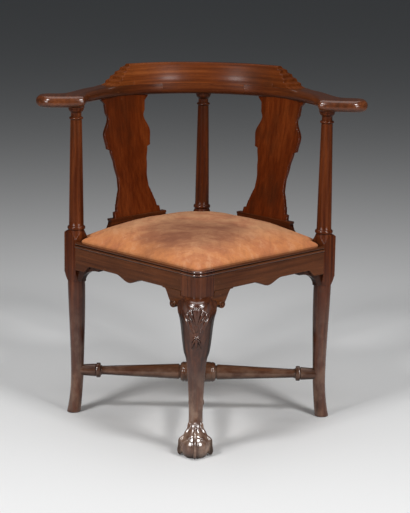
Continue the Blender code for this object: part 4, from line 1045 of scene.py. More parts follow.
@dataclass
class FrontLeg:
    """Cabriole leg: moulded head, shell-carved knee, ankle, and claws that grip a ball."""

    sides: int = 96
    rings: int = 150
    voxel: float = 0.0009
    corner_radius: float = 0.018
    lip_corner: float = 0.0134
    head_bottom: float = 0.318
    knee_top: float = 0.360
    paw_start: float = 0.058
    paw_end: float = 0.043
    foot_out: float = 0.0185
    ball_radius: float = 0.0315
    ball_height: float = 0.0545
    ball_middle: float = 0.0215
    claw_sunk: float = 0.55
    shell_base: float = 0.2997
    shell_relief: float = 0.0064
    side_share: float = 0.42
    husk_base: float = 0.274
    flush: float = 0.0007
    web: float = 0.0022
    web_front: float = 0.0492
    web_fall: float = 0.0377
    web_bend: float = 2.3
    swell_start: float = 0.004
    swell_run: float = 0.055
    tuck_end: float = 0.198
    tuck_run: float = 0.024
    hollow_low: float = 0.215
    hollow_high: float = 0.308
    hollow_ease: float = 0.022
    hollow_depth: float = 0.010
    hollow_edge: float = 0.0055
    knuckle: float = 0.12
    knuckle_start: float = 0.2
    knuckle_pitch: float = 2.6
    front_slim: float = 0.60
    side_slim: float = 0.72
    lobe_degrees: float = 13.0
    carved_low: float = 0.240
    stations: tuple[Row, ...] = (
        (0.000, 0.0700, 0.0290, -0.0280, 3.6),
        (0.006, 0.0745, 0.0390, -0.0290, 3.0),
        (0.013, 0.0785, 0.0436, -0.0300, 2.7),
        (0.030, 0.0840, 0.0486, -0.0320, 2.6),
        (0.060, 0.0872, 0.0507, -0.0335, 2.7),
        (0.083, 0.0874, 0.0507, -0.0340, 2.8),
        (0.114, 0.0846, 0.0510, -0.0340, 2.9),
        (0.139, 0.0800, 0.0505, -0.0335, 2.9),
        (0.170, 0.0758, 0.0490, -0.0320, 3.0),
        (0.227, 0.0708, 0.0460, -0.0290, 3.0),
        (0.273, 0.0680, 0.0430, -0.0260, 3.1),
        (0.3775, 0.0600, 0.0335, -0.025, 3.4),
        (0.409, 0.0556, 0.0306, -0.0245, 3.3),
        (0.4456, 0.0470, 0.028, -0.0225, 3.1),
        (0.520, 0.0415, 0.0238, -0.0200, 3.0),
        (0.602, 0.0375, 0.020, -0.018, 2.8),
        (0.802, 0.0316, 0.0195, -0.0115, 2.3),
        (0.9095, 0.0318, 0.0245, -0.0070, 2.1),
        (0.9524, 0.0364, 0.0325, -0.0040, 2.0),
        (0.9749, 0.0425, 0.0395, -0.0040, 2.0),
        (0.9906, 0.0500, 0.0433, -0.0062, 2.0),
        (1.000, 0.0525, 0.0446, -0.0075, 2.0),
    )
    claw_root: tuple[Pair, ...] = (
        (1.42, 0.0012), (1.25, 0.0046), (1.08, 0.0064), (0.95, 0.0070), (0.81, 0.0072),
    )
    claw_grip: tuple[Row, ...] = (
        (0.94, 0.67, 0.0068), (1.03, 0.51, 0.0060), (1.07, 0.34, 0.0062), (1.075, 0.18, 0.0056),
        (1.05, 0.05, 0.0040),
    )
    shell_lengths: tuple[Row, ...] = ((0, 0.0480), (13, 0.0470), (26, 0.0430), (40, 0.0380))
    shell_leaves: tuple[tuple[float, tuple[Row, ...]], ...] = (
        (0.0026, ((0.0, 0.002, 0.0046), (0.0, -0.007, 0.0030))),
        (
            0.0030,
            ((0.031, 0.031, 0.0024), (0.029, 0.021, 0.0042), (0.022, 0.009, 0.0042), (0.013, -0.006, 0.0015)),
        ),
        (0.0030, ((0.018, 0.014, 0.0022), (0.014, 0.003, 0.0032), (0.007, -0.011, 0.0012))),
    )
    husk_relief: float = 0.0040
    husk_leaves: tuple[tuple[Row, ...], ...] = (
        ((0.0, 0.004, 0.0030), (0.0055, 0.002, 0.0024)),
        ((0.0, -0.001, 0.0026), (0.0, -0.010, 0.0036), (0.0, -0.024, 0.0010)),
        ((0.004, -0.003, 0.0022), (0.0072, -0.010, 0.0030), (0.0098, -0.022, 0.0010)),
    )

    def station(self, height: float) -> list[float]:
        """Width, front, back and squareness of the leg at a height."""
        return through(self.stations, (self.knee_top - height) / (self.knee_top - self.paw_end))

    def swelling(self, height: float) -> float:
        """How far the knee's sides have swelled from the head's faces at a height, as a share."""
        return eased((self.knee_top - self.swell_start - height) / self.swell_run)

    def side_proud(self, height: float, beside: float) -> float:
        """How far the knee's side stands out of the rail's face at a height and a place beside it.

        Args:
            height: Height over the floor.
            beside: Place along the rail.

        Returns:
            The distance.
        """
        faces = []
        for share in spread(16):
            across, out = self.leg_point(radians(between(-45, 50, share)), height)
            faces.append(((out - across) / sqrt(2), (across + out) / sqrt(2) - PLAN.outer_face))
        faces.sort()
        return through(faces, min(max(beside, faces[0][0]), faces[-1][0]))[0]

    def tucked(self, face: float, beside: float, height: float) -> float:
        """A knee's side drawn back to the head's face near the top, except at the front corner.

        Args:
            face: How far out the side lies.
            beside: Place along the rail.
            height: Height over the floor.

        Returns:
            How far out it then lies.
        """
        proud = face - PLAN.outer_face
        if proud <= self.flush:
            return face
        far = 1 - eased((beside - self.tuck_end) / self.tuck_run)
        return PLAN.outer_face + self.flush + (proud - self.flush) * (1 - far * (1 - self.swelling(height)))

    def leg_point(self, turn: float, height: float) -> Pair:
        """A point of the leg's section, across and out from the chair's middle.

        Args:
            turn: Angle round the section.
            height: Height over the floor.

        Returns:
            The two places.
        """
        width, front, back, exponent = self.station(height)
        corner = 2 ** (0.5 - 1 / exponent)
        c, s = cos(turn), sin(turn)
        reach = (abs(c) ** exponent + abs(s) ** exponent) ** (-1 / exponent) / corner / sqrt(2)
        out = PLAN.half_diagonal + (front + back) / 2 + reach * (c - s) * (front - back) / 2
        across = reach * (c + s) * width / 2
        side = width * self.side_share
        low, high = (eased((height - end) / self.hollow_ease) for end in (self.hollow_low, self.hollow_high))
        back_set = self.hollow_depth * (low * (1 - high))
        return across, out - back_set * min(max(abs(across) - side, 0) / self.hollow_edge, 1)

    def leg_ring(self, height: float) -> Ring:
        """One section of the leg.

        Args:
            height: Height over the floor.

        Returns:
            The ring.
        """
        ring = []
        for turn in turns(self.sides):
            across, out = self.leg_point(turn, height)
            face, beside = (out + abs(across)) / sqrt(2), (out - abs(across)) / sqrt(2)
            out -= sqrt(2) * (face - self.tucked(face, beside, height))
            ring.append(PLAN.at(across, -out, height))
        return ring

    def ball_reach(self, height: float) -> float:
        """Radius of the ball at a height."""
        share = (height - self.ball_middle) / (self.ball_height - self.ball_middle)
        return self.ball_radius * sqrt(max(1 - share * share, 0))

    def paw_ring(self, share: float) -> Ring:
        """A section of the webs, which end high by the front claw and low by the side claws.

        Args:
            share: How far down the webs.

        Returns:
            The ring.
        """
        ring = []
        middle = PLAN.half_diagonal + self.foot_out
        for turn in turns(self.sides):
            across, out = self.leg_point(turn, self.paw_end)
            aside = atan2(abs(across), abs(out - middle)) / (pi / 2)
            edge = self.web_front - self.web_fall * aside**self.web_bend
            height = between(self.paw_start, edge, share)
            across, out = self.leg_point(turn, max(height, self.paw_end))
            reach = hypot(across, out - middle)
            grown = max(reach, self.ball_reach(height) + self.web) / reach
            ring.append(PLAN.at(across * grown, -(middle + (out - middle) * grown), height))
        return ring

    def claw_rings(self, across: int, out: int) -> list[Ring]:
        """Sections of one claw, down the leg and round the ball on one side.

        Args:
            across: -1 or 1 for a side claw, or 0.
            out: 1 for the front claw, -1 for the back one, or 0.

        Returns:
            The rings, from the top.
        """
        rows = []
        for share, half in self.claw_root:
            height = share * self.ball_height
            width, front, back, _ = self.station(height)
            reach = width / 2 if across else (front - self.foot_out if out > 0 else self.foot_out - back)
            rows.append((reach - half * self.claw_sunk, height, half))
        for share, height, half in self.claw_grip:
            rows.append((share * self.ball_radius, height * self.ball_height, half))
        numbered = [(i, *row) for i, row in enumerate(rows)]
        rings = []
        for step in spread(54):
            place = step * (len(rows) - 1)
            reach, height, half = through(numbered, place)
            before = through(numbered, max(place - 0.1, 0))
            after = through(numbered, min(place + 0.1, len(rows) - 1))
            run = hypot(after[0] - before[0], after[1] - before[1])
            lean_out, lean_up = -(after[1] - before[1]) / run, (after[0] - before[0]) / run
            half *= 1 + self.knuckle * cos(2 * pi * (place - self.knuckle_start) / self.knuckle_pitch)
            slim = self.front_slim if out > 0 else self.side_slim
            ring = []
            for angle in turns(16):
                away = reach + half * cos(angle) * lean_out
                beside = half * slim * sin(angle)
                x = across * away - out * beside
                y = PLAN.half_diagonal + self.foot_out + out * away + across * beside
                ring.append(PLAN.at(x, -y, height + half * cos(angle) * lean_up))
            rings.append(ring)
        return rings

    def shell(self, across: float, height: float) -> float:
        """Relief of the shell at a place on the front of the knee, as a share.

        Args:
            across: Place from the knee's middle.
            height: Height over the shell's base.

        Returns:
            The share.
        """
        run = hypot(across, height)
        degrees = abs(atan2(across, height)) * 180 / pi
        if run < 1e-6 or degrees > 3 * self.lobe_degrees:
            return 0.0
        lobe = (degrees / self.lobe_degrees) % 1.0 * 2 - 1
        tip = through(self.shell_lengths, degrees)[0] * (1 - 0.10 * lobe * lobe)
        share = run / tip
        if share > 1:
            return 0.0
        round_end = sqrt(max(1 - max((share - 0.84) / 0.16, 0) ** 2, 0))
        ridge = sqrt(max(1 - 0.95 * lobe * lobe, 0))
        return (0.22 + 0.78 * eased(share / 0.8)) * ridge * round_end

    def leaf(self, across: float, height: float, path: Sequence[Row]) -> float:
        """Relief of a slim leaf or petal that follows a path of places and half widths.

        Args:
            across: Place from the knee's middle.
            height: Height over the path's base.
            path: The path.

        Returns:
            The share of its relief.
        """
        best = 0.0
        for (x0, z0, w0), (x1, z1, w1) in zip(path, path[1:]):
            along = Vector((x1 - x0, z1 - z0))
            share = min(max(Vector((across - x0, height - z0)).dot(along) / along.length_squared, 0), 1)
            aside = across - between(x0, x1, share)
            off = hypot(aside, height - between(z0, z1, share)) / between(w0, w1, share)
            best = max(best, sqrt(max(1 - off * off, 0)))
        return best

    def relief(self, across: float, height: float) -> float:
        """How far the carving stands out of the front of the knee.

        Args:
            across: Place from the knee's middle.
            height: Height over the floor.

        Returns:
            The distance.
        """
        aside = abs(across)
        level = height - self.shell_base
        total = self.shell_relief * self.shell(across, level)
        for proud, path in self.shell_leaves:
            total = max(total, proud * self.leaf(aside, level, path))
        for path in self.husk_leaves:
            total = max(total, self.husk_relief * self.leaf(aside, height - self.husk_base, path))
        return total

    def carved(self) -> Mesh:
        """Knee, ankle, ball and claws worked into one skin, then carved.

        Returns:
            The mesh.
        """
        bm = bmesh.new()
        heights = [between(self.knee_top, self.paw_start, share) for share in spread(self.rings)]
        webs = [self.paw_ring(share) for share in spread(24)[1:]]
        skin(bm, [self.leg_ring(height) for height in heights] + webs)
        for across, out in ((0, 1), (0, -1), (-1, 0), (1, 0)):
            skin(bm, self.claw_rings(across, out))
        ball = bmesh.ops.create_uvsphere(bm, u_segments=48, v_segments=32, radius=1)["verts"]
        size = Matrix.Diagonal((self.ball_radius, self.ball_radius, self.ball_height - self.ball_middle, 1))
        middle = PLAN.at(0, -PLAN.half_diagonal - self.foot_out, self.ball_middle)
        bmesh.ops.transform(bm, matrix=Matrix.Translation(middle) @ size, verts=ball)
        rough = as_mesh("rough_front_leg", bm)
        worked = with_modifier(rough, "REMESH", mode="VOXEL", voxel_size=self.voxel, use_smooth_shade=True)
        bm = bmesh.new()
        bm.from_mesh(worked)
        drop_crumbs(bm)
        for _ in range(2):
            bmesh.ops.smooth_vert(
                bm, verts=bm.verts, factor=0.5, use_axis_x=True, use_axis_y=True, use_axis_z=True
            )
        bm.normal_update()
        for vert in bm.verts:
            facing = eased((-vert.normal.y - 0.15) / 0.35)
            if facing and self.carved_low < vert.co.z < self.knee_top - 0.003:
                vert.co += vert.normal * self.relief(vert.co.x, vert.co.z) * facing
            vert.co.z = max(vert.co.z, 0.0)
        return as_mesh("carved_front_leg", bm, radians(60))

    def head_ring(self, height: float, proud: float, inner: float) -> Ring:
        """The head's plan at a height, with its outer faces standing proud.

        Args:
            height: Height over the floor.
            proud: How far they stand out.
            inner: Where the inner faces lie.

        Returns:
            The ring.
        """
        outer = PLAN.outer_face + proud
        middle = PLAN.outer_face - self.corner_radius
        radius = self.corner_radius + proud
        ring = [PLAN.square(inner, -inner, height), PLAN.square(inner, -outer, height)]
        for share in spread(16):
            angle = pi / 2 * (share - 1)
            ring.append(PLAN.square(middle + radius * cos(angle), -middle + radius * sin(angle), height))
        ring.append(PLAN.square(outer, -inner, height))
        return ring

    def lip_ring(self, height: float, proud: float) -> Ring:
        """The plan of the head's lip, which stops at the seat's rebate.

        Args:
            height: Height over the floor.
            proud: How far it stands out.

        Returns:
            The ring.
        """
        inner = PLAN.half_side - PLAN.front_block_in
        reach = PLAN.outer_face - PLAN.lip_width
        ring = self.head_ring(height, proud, inner)[1:]
        ring.append(PLAN.square(reach, -inner, height))
        radius = self.lip_corner
        middle = reach - radius
        for share in spread(8):
            angle = -pi / 2 * share
            ring.append(PLAN.square(middle + radius * cos(angle), -middle + radius * sin(angle), height))
        ring.append(PLAN.square(inner, -reach, height))
        return ring

    def head(self) -> Mesh:
        """The square head with the rail moulding carried round its rounded corner.

        Returns:
            The mesh.
        """
        bm = bmesh.new()
        inner = PLAN.half_side - PLAN.front_block_in
        behind = -0.002
        levels = [(self.head_bottom, behind), (self.knee_top - 0.004, behind)]
        levels += [(self.knee_top - 0.0035, 0.0), (PLAN.rebate, 0.0)]
        skin(bm, [self.head_ring(height, proud, inner) for height, proud in levels])
        rings = [self.lip_ring(PLAN.rebate - 0.0010, -0.0004)]
        rings += [self.lip_ring(PLAN.rail_top - below, proud) for proud, below in lip_moulding()]
        skin(bm, rings)
        return as_mesh("front_leg_head", bm)

    def build(self) -> None:
        """Carve the leg and its head and dress them."""
        # The leg's finish paints shade on the knee's sides and a pale floor glow low down.
        material = Mahogany(
            "front_leg_mahogany", Grain.UPRIGHT, body=(0.058, 0.0150, 0.0055),
            bright=(0.125, 0.036, 0.0120), scuff_and_glow=(0.310, 0.200, 0.142), start=1.9, wear=0.45,
            gloss=0.24, scuff_and_glow_share=0.90, scuff_and_glow_top=0.24, polish=0.26, wax=0.12, haze=0.20, lustre=2.20,
            glint=0.70, carving=0.009, painted_side_shade=0.9,
        ).material()
        frame_piece(self.carved(), material, "front_leg")
        head = Mahogany(
            "leg_head_mahogany", Grain.UPRIGHT, deep=(0.020, 0.0045, 0.0024),
            body=(0.056, 0.0145, 0.0060), bright=(0.130, 0.038, 0.0130), start=2.3, polish=0.08,
            haze=0.14, lustre=1.85, lip_shine=0.60,
        ).material()
        frame_piece(self.head(), head)


@dataclass
class SeatRails:
    """Four seat rails with their double-bead lip, and the brackets and blocks fixed to them."""

    apron_drop: float = 0.013
    apron_width: float = 0.090
    lobe_drop: float = 0.016
    lobe_reach: float = 0.028
    lobe_ease: float = 0.024
    steps: int = 120
    ear_length: float = 0.059
    ear_height: float = 0.0328
    ear_behind: float = 0.030
    ear_start: float = 0.0530
    ear_run: float = 0.0235
    ear_tip: float = 0.0024
    scroll_drop: float = 0.0325
    scroll_set: float = 0.0232
    arris: float = 0.0012
    scroll: tuple[Pair, ...] = (
        (0.0088, 0.0006), (0.0082, 0.0018), (0.0066, 0.0018), (0.0058, 0.0), (0.0044, 0.0),
        (0.0036, 0.0020), (0.0012, 0.0028),
    )

    def lower_edge(self, place: float, post: float) -> float:
        """Height of a shaped rail's lower edge at a place along it, with a lobe by the post.

        Args:
            place: Place along it.
            post: Where the post is.

        Returns:
            The height.
        """
        share = min(abs(place) / (self.apron_width / 2), 1)
        lobe = self.lobe_drop * (1 - eased((abs(place - post) - self.lobe_reach) / self.lobe_ease))
        return PLAN.rail_bottom - self.apron_drop * (1 + cos(pi * share)) / 2 - lobe

    def mesh(self, name: str, rail: Rail, start: float, end: float, post: float) -> Mesh:
        """One rail between two blocks.

        Args:
            name: The mesh's name.
            rail: The side of the seat.
            start: Where it starts, from its middle.
            end: Where it ends, from its middle.
            post: Where a shaped rail meets its post, or 0 for a plain rail.

        Returns:
            The mesh.
        """
        lip = PLAN.outer_face - PLAN.lip_width
        rings = []
        for share in spread(self.steps):
            along = between(start, end, share)
            low = self.lower_edge(along, post) if post else PLAN.rail_bottom
            profile = [(PLAN.inner_face, low), (PLAN.outer_face - self.arris, low)]
            profile.append((PLAN.outer_face, low + self.arris))
            profile += [(PLAN.outer_face + proud, PLAN.rail_top - below) for proud, below in lip_moulding()]
            profile += [(lip, PLAN.rail_top), (lip, PLAN.rebate), (PLAN.inner_face, PLAN.rebate)]
            rings.append([PLAN.rail(rail.value, along, out, z) for out, z in profile])
        return solid(name, rings)

    def swell(self, place: float, height: float, leg: FrontLeg) -> float:
        """How far a knee bracket's face stands out of the rail's face.

        Args:
            place: Place along the rail, from the knee.
            height: Height over the floor.
            leg: The front leg.

        Returns:
            The distance.
        """
        near = eased((place + 0.038) / 0.040)
        beside = PLAN.half_side - PLAN.front_block_in + max(place, 0.003)
        proud = leg.flush + max(leg.side_proud(height, beside) - leg.flush, 0) * leg.swelling(height)
        return proud * near + 0.0004 - 0.0050 * eased((place - 0.010) / 0.020)

    def bracket(self, name: str, rail: Rail, side: int, leg: FrontLeg) -> Mesh:
        """A scrolled ear whose face swells from the rail into the knee.

        Args:
            name: The mesh's name.
            rail: The side of the seat.
            side: Which end of the rail the knee is at.
            leg: The front leg.

        Returns:
            The mesh.
        """
        root = PLAN.half_side - PLAN.front_block_in
        top = PLAN.rail_bottom + 0.0004
        rings = []
        for share in spread(64):
            place = between(-self.ear_length, self.ear_behind, share)
            fall = eased((place + self.ear_start) / self.ear_run)
            low = top - between(self.ear_tip, self.ear_height, fall)
            high = top if place < 0 else leg.knee_top - 0.002
            profile = [(PLAN.inner_face, high), (PLAN.inner_face, low)]
            profile.append((PLAN.outer_face + self.swell(place, low, leg) - 0.0014, low))
            for up in spread(14):
                z = between(low + self.arris, high, up)
                profile.append((PLAN.outer_face + self.swell(place, z, leg), z))
            rings.append([PLAN.rail(rail.value, side * (root + place), out, z) for out, z in profile])
        bm = skin(bmesh.new(), rings)
        middle = side * (root - self.scroll_set)
        height = top - self.scroll_drop
        face = PLAN.outer_face + self.swell(-self.scroll_set, height, leg)
        rings = []
        for radius, out in ((self.scroll[0][0], PLAN.inner_face + 0.004 - face), *self.scroll):
            ring = []
            for turn in turns(32):
                along = middle + radius * cos(turn)
                ring.append(PLAN.rail(rail.value, along, face + out, height + radius * sin(turn)))
            rings.append(ring)
        return as_mesh(name, skin(bm, rings), radians(35))

    def build(self, leg: FrontLeg) -> None:
        """Shape the rails and dress them with their brackets and blocks.

        Args:
            leg: The front leg that the knee brackets run into.
        """
        post = PLAN.half_side - PLAN.block_half
        front = PLAN.half_side - PLAN.front_block_in
        tawny = {
            "deep": (0.044, 0.0120, 0.0040),
            "body": (0.092, 0.0280, 0.0092),
            "bright": (0.145, 0.0440, 0.0140),
            "stained": (0.050, 0.0180, 0.0070),
            "wear": 0.95,
            "gloss": 0.26,
            "polish": 0.12,
            "lip_shine": 0.55,
        }
        left = Mahogany("left_front_rail_mahogany", Grain.LEFT_TO_FRONT, start=0.8, **tawny).material()
        right = Mahogany("right_front_rail_mahogany", Grain.RIGHT_TO_FRONT, start=1.3, **tawny).material()
        # The spandrel brackets sit in shade under the rails: a near-black copy of the mahogany paints that
        # shade.
        shade = {"body": (0.026, 0.0075, 0.0030), "bright": (0.060, 0.016, 0.006)}
        spandrel = Mahogany("spandrel_painted_shade_mahogany", Grain.UPRIGHT, **shade).material()
        for name, rail, start, end, by_post, material in (
            ("rear_right_rail", Rail.REAR_RIGHT, -post, post, 0.0, left),
            ("rear_left_rail", Rail.REAR_LEFT, -post, post, 0.0, right),
            ("front_left_rail", Rail.FRONT_LEFT, -front, post, post, left),
            ("front_right_rail", Rail.FRONT_RIGHT, -post, front, -post, right),
        ):
            mesh = self.mesh("moulded_" + name, rail, start, end, by_post)
            frame_piece(mesh, material, name)
        knees = (("left", Rail.FRONT_LEFT, -1, left), ("right", Rail.FRONT_RIGHT, 1, right))
        for hand, rail, side, material in knees:
            mesh = self.bracket(f"scrolled_{hand}_knee_bracket", rail, side, leg)
            frame_piece(mesh, material, "knee_bracket_" + hand)
            dress(spandrel, hand + "_spandrel_bracket")
        block = BareBeech("corner_block_beech", Grain.UPRIGHT).material()
        dress(block, *(corner + "_corner_block" for corner in ("left", "right", "rear", "front")))


@dataclass
class HorseshoeArm:
    """The arm in three lengths, with its paddle ends, and the raised crest with stepped ends."""

    width: float = 0.056
    edge_radius: float = 0.0125
    top_radius: float = 0.013
    face_lean: float = 0.0018
    joint_angle: float = radians(22)
    joint_gap: float = 0.0009
    sweep_angle: float = radians(68)
    cusp_angle: float = radians(84)
    cusp_set: float = 0.022
    cusp_ease: float = 0.006
    cusp_forward: float = 0.026
    paddle_reach: float = 0.092
    paddle_width: float = 0.074
    paddle_set: float = 0.005
    crest_height: float = 0.049
    crest_full: float = radians(39)
    crest_end: float = radians(51)
    crest_steps: int = 5
    ramp_set: float = 0.0024
    crest_profile: tuple[Row, ...] = (
        (0.0, 0.032, 0.00), (1.0, 0.050, 0.10), (2.0, 0.078, 0.20), (3.0, 0.114, 0.30),
        (4.0, 0.155, 0.40), (5.0, 0.245, 0.60), (6.0, 0.328, 0.78), (7.0, 0.396, 0.92),
        (8.0, 0.460, 1.00), (9.0, 0.600, 1.00), (10.0, 0.730, 0.93), (11.0, 0.840, 0.72),
        (12.0, 0.930, 0.38), (13.0, 0.990, 0.00),
    )

    @property
    def inner(self) -> float:
        """Radius of the arm's inner edge."""
        return PLAN.half_diagonal - self.width / 2

    @property
    def outer(self) -> float:
        """Radius of the arm's outer edge."""
        return PLAN.half_diagonal + self.width / 2

    def polar(self, radius: float, angle: float, side: int) -> Vector:
        """A plan point at an angle round from the back."""
        return Vector((side * radius * sin(angle), radius * cos(angle)))

    def stations(self, side: int) -> list[Station]:
        """Inner and outer plan points of one arm, with the share of thickness and the angle of each.

        Args:
            side: -1 for the left arm, 1 for the right.

        Returns:
            The stations, from the joint.
        """
        rows = []
        for share in spread(40):
            angle = between(self.joint_angle + self.joint_gap, self.sweep_angle, share)
            inner, outer = (self.polar(radius, angle, side) for radius in (self.inner, self.outer))
            rows.append((inner, outer, 1.0, angle))
        half = self.paddle_width / 2
        paddle = PLAN.half_diagonal + self.paddle_reach - half
        back_start = self.polar(self.outer, self.sweep_angle, side)
        back_end = Vector((side * paddle, half - self.paddle_set))
        heading = Vector((side * cos(self.sweep_angle), -sin(self.sweep_angle)))
        back_leave = back_start + heading * self.paddle_width * 0.8
        back = (back_start, back_leave, back_end - Vector((side * half * 0.8, 0)), back_end)
        front_end = Vector((side * paddle, -half - self.paddle_set))
        cusp = Vector((side * (PLAN.half_diagonal - self.cusp_set), -self.cusp_forward))
        front_leave = cusp.lerp(Vector((cusp.x + side * half * 0.25, front_end.y)), 0.40)
        front = (cusp, front_leave, front_end - Vector((side * half * 0.9, 0)), front_end)
        arc_share, cusp_share = 3 / 8, 5 / 8
        for share in spread(48)[1:]:
            if share <= arc_share:
                part = share / arc_share
                angle = between(self.sweep_angle, self.cusp_angle, part)
                near = self.polar(self.inner + self.cusp_ease * eased(part), angle, side)
            elif share <= cusp_share:
                part = (share - arc_share) / (cusp_share - arc_share)
                near = self.polar(self.inner + self.cusp_ease, self.cusp_angle, side).lerp(cusp, part)
            else:
                near = bezier(front, (share - cusp_share) / (1 - cusp_share))
            rows.append((near, bezier(back, share), 1.0, self.cusp_angle))
        nose = PLAN.arm_thickness / 2
        centre = Vector((side * paddle, -self.paddle_set))
        for share in spread(18)[1:]:
            angle = between(pi / 2, radians(7), share)
            behind = half * (1 - cos(angle))
            thickness = sqrt(max(1 - max(1 - behind / nose, 0) ** 2, 0))
            reach = Vector((side * half * cos(angle), half * sin(angle)))
            rows.append((centre + Vector((reach.x, -reach.y)), centre + reach, thickness, self.cusp_angle))
        return rows

    def arm_mesh(self, name: str, stations: Sequence[Station]) -> Mesh:
        """A length of the arm skinned over its stations, flat-topped under the crest.

        Args:
            name: The mesh's name.
            stations: The stations in order.

        Returns:
            The mesh.
        """
        middle = PLAN.arm_underside + PLAN.arm_thickness / 2
        rings = []
        for inner, outer, share, angle in stations:
            across = (outer - inner).normalized()
            centre = (inner + outer) / 2
            thickness = PLAN.arm_thickness * share
            bare = eased((angle - self.crest_end) / radians(8))
            top = between(0.0004, self.top_radius, bare)
            profile = rounded_section((outer - inner).length, thickness, self.edge_radius, top)
            base = middle - thickness / 2
            ring = []
            for x, z in profile:
                lean = self.face_lean * (1 - bare) * (z / thickness) ** 2 if x < 0 else 0.0
                ring.append(PLAN.at(*(centre + across * (x + lean)), base + z))
            rings.append(ring)
        return solid(name, rings)

    def back_mesh(self) -> Mesh:
        """The middle length of the arm.

        Returns:
            The mesh.
        """
        rows = []
        for share in spread(30):
            angle = between(-self.joint_angle, self.joint_angle, share)
            rows.append((self.polar(self.inner, angle, 1), self.polar(self.outer, angle, 1), 1.0, 0.0))
        return self.arm_mesh("doweled_arm_back", rows)

    def crest_rows(self) -> list[tuple[float, float, float]]:
        """Angles from the back, height shares and setbacks of one side, full height and then the steps.

        Returns:
            The rows, from the middle.
        """
        rows = [(self.crest_full * share, 1.0, 0.0) for share in spread(24)]
        step = (self.crest_end - self.crest_full) / self.crest_steps
        for i in range(self.crest_steps):
            angle = self.crest_full + step * i
            low = 1 - (i + 0.62) / self.crest_steps
            tread = (0.06, low + 0.006), (0.10, low)
            nosing = (0.90, low - 0.30 / self.crest_steps), (0.97, low - 0.33 / self.crest_steps)
            rows += [(angle + step * share, height, self.ramp_set) for share, height in (*tread, *nosing)]
        rows.append((self.crest_end, 0.0, self.ramp_set))
        return rows

    def crest_mesh(self) -> Mesh:
        """The raised crest, with a stepped ramp at each end.

        Returns:
            The mesh.
        """
        one_side = self.crest_rows()
        rows = [(-angle, height, inset) for angle, height, inset in reversed(one_side[1:])] + one_side
        profile = [through(self.crest_profile, 13 * share) for share in spread(52)]
        base = PLAN.arm_underside + PLAN.arm_thickness
        rings = []
        for angle, height, inset in rows:
            ring = []
            for depth, level in profile:
                radius = self.inner + max(self.width * depth, inset + self.width * 0.032)
                ring.append(PLAN.round(radius, angle, base + min(max(level, 0), height) * self.crest_height))
            rings.append(ring)
        return solid("stepped_crest", rings, radians(30))

    def build(self) -> None:
        """Shape the arms and the crest and dress them."""
        arm = Mahogany(
            "arm_mahogany", Grain.HORSESHOE, body=(0.078, 0.0180, 0.0046),
            bright=(0.150, 0.0410, 0.0110), start=0.2, wear=0.6, gloss=0.27, polish=0.03, haze=0.18,
            lustre=1.85, glint=0.32, handled=0.10,
        ).material()
        # The middle length gets a slightly darker copy of the arm's mahogany, painting the shade on its face
        # under the crest.
        arm_back = Mahogany(
            "arm_back_shaded_mahogany", Grain.HORSESHOE, deep=(0.034, 0.0070, 0.0017),
            body=(0.074, 0.0165, 0.0038), bright=(0.142, 0.0370, 0.0090), start=1.2, gloss=0.34,
            polish=0.03, haze=0.30, glint=0.08,
        ).material()
        crest = Mahogany(
            "crest_mahogany", Grain.HORSESHOE, deep=(0.050, 0.0105, 0.0022),
            body=(0.112, 0.0250, 0.0046), bright=(0.190, 0.0500, 0.0105), start=2.7, gloss=0.30,
            polish=0.08, haze=0.25, glint=0.10,
        ).material()
        for name, side in (("left", -1), ("right", 1)):
            mesh = self.arm_mesh(name + "_shaped_arm", self.stations(side))
            frame_piece(mesh, arm, name + "_arm")
        frame_piece(self.back_mesh(), arm_back, "arm_back")
        frame_piece(self.crest_mesh(), crest, "crest_rail")
        iron = OldIron("screw_iron").material()
        for hand in ("left", "right"):
            dress(iron, *(f"{hand}_{place}_crest_screw" for place in ("rear", "side")))


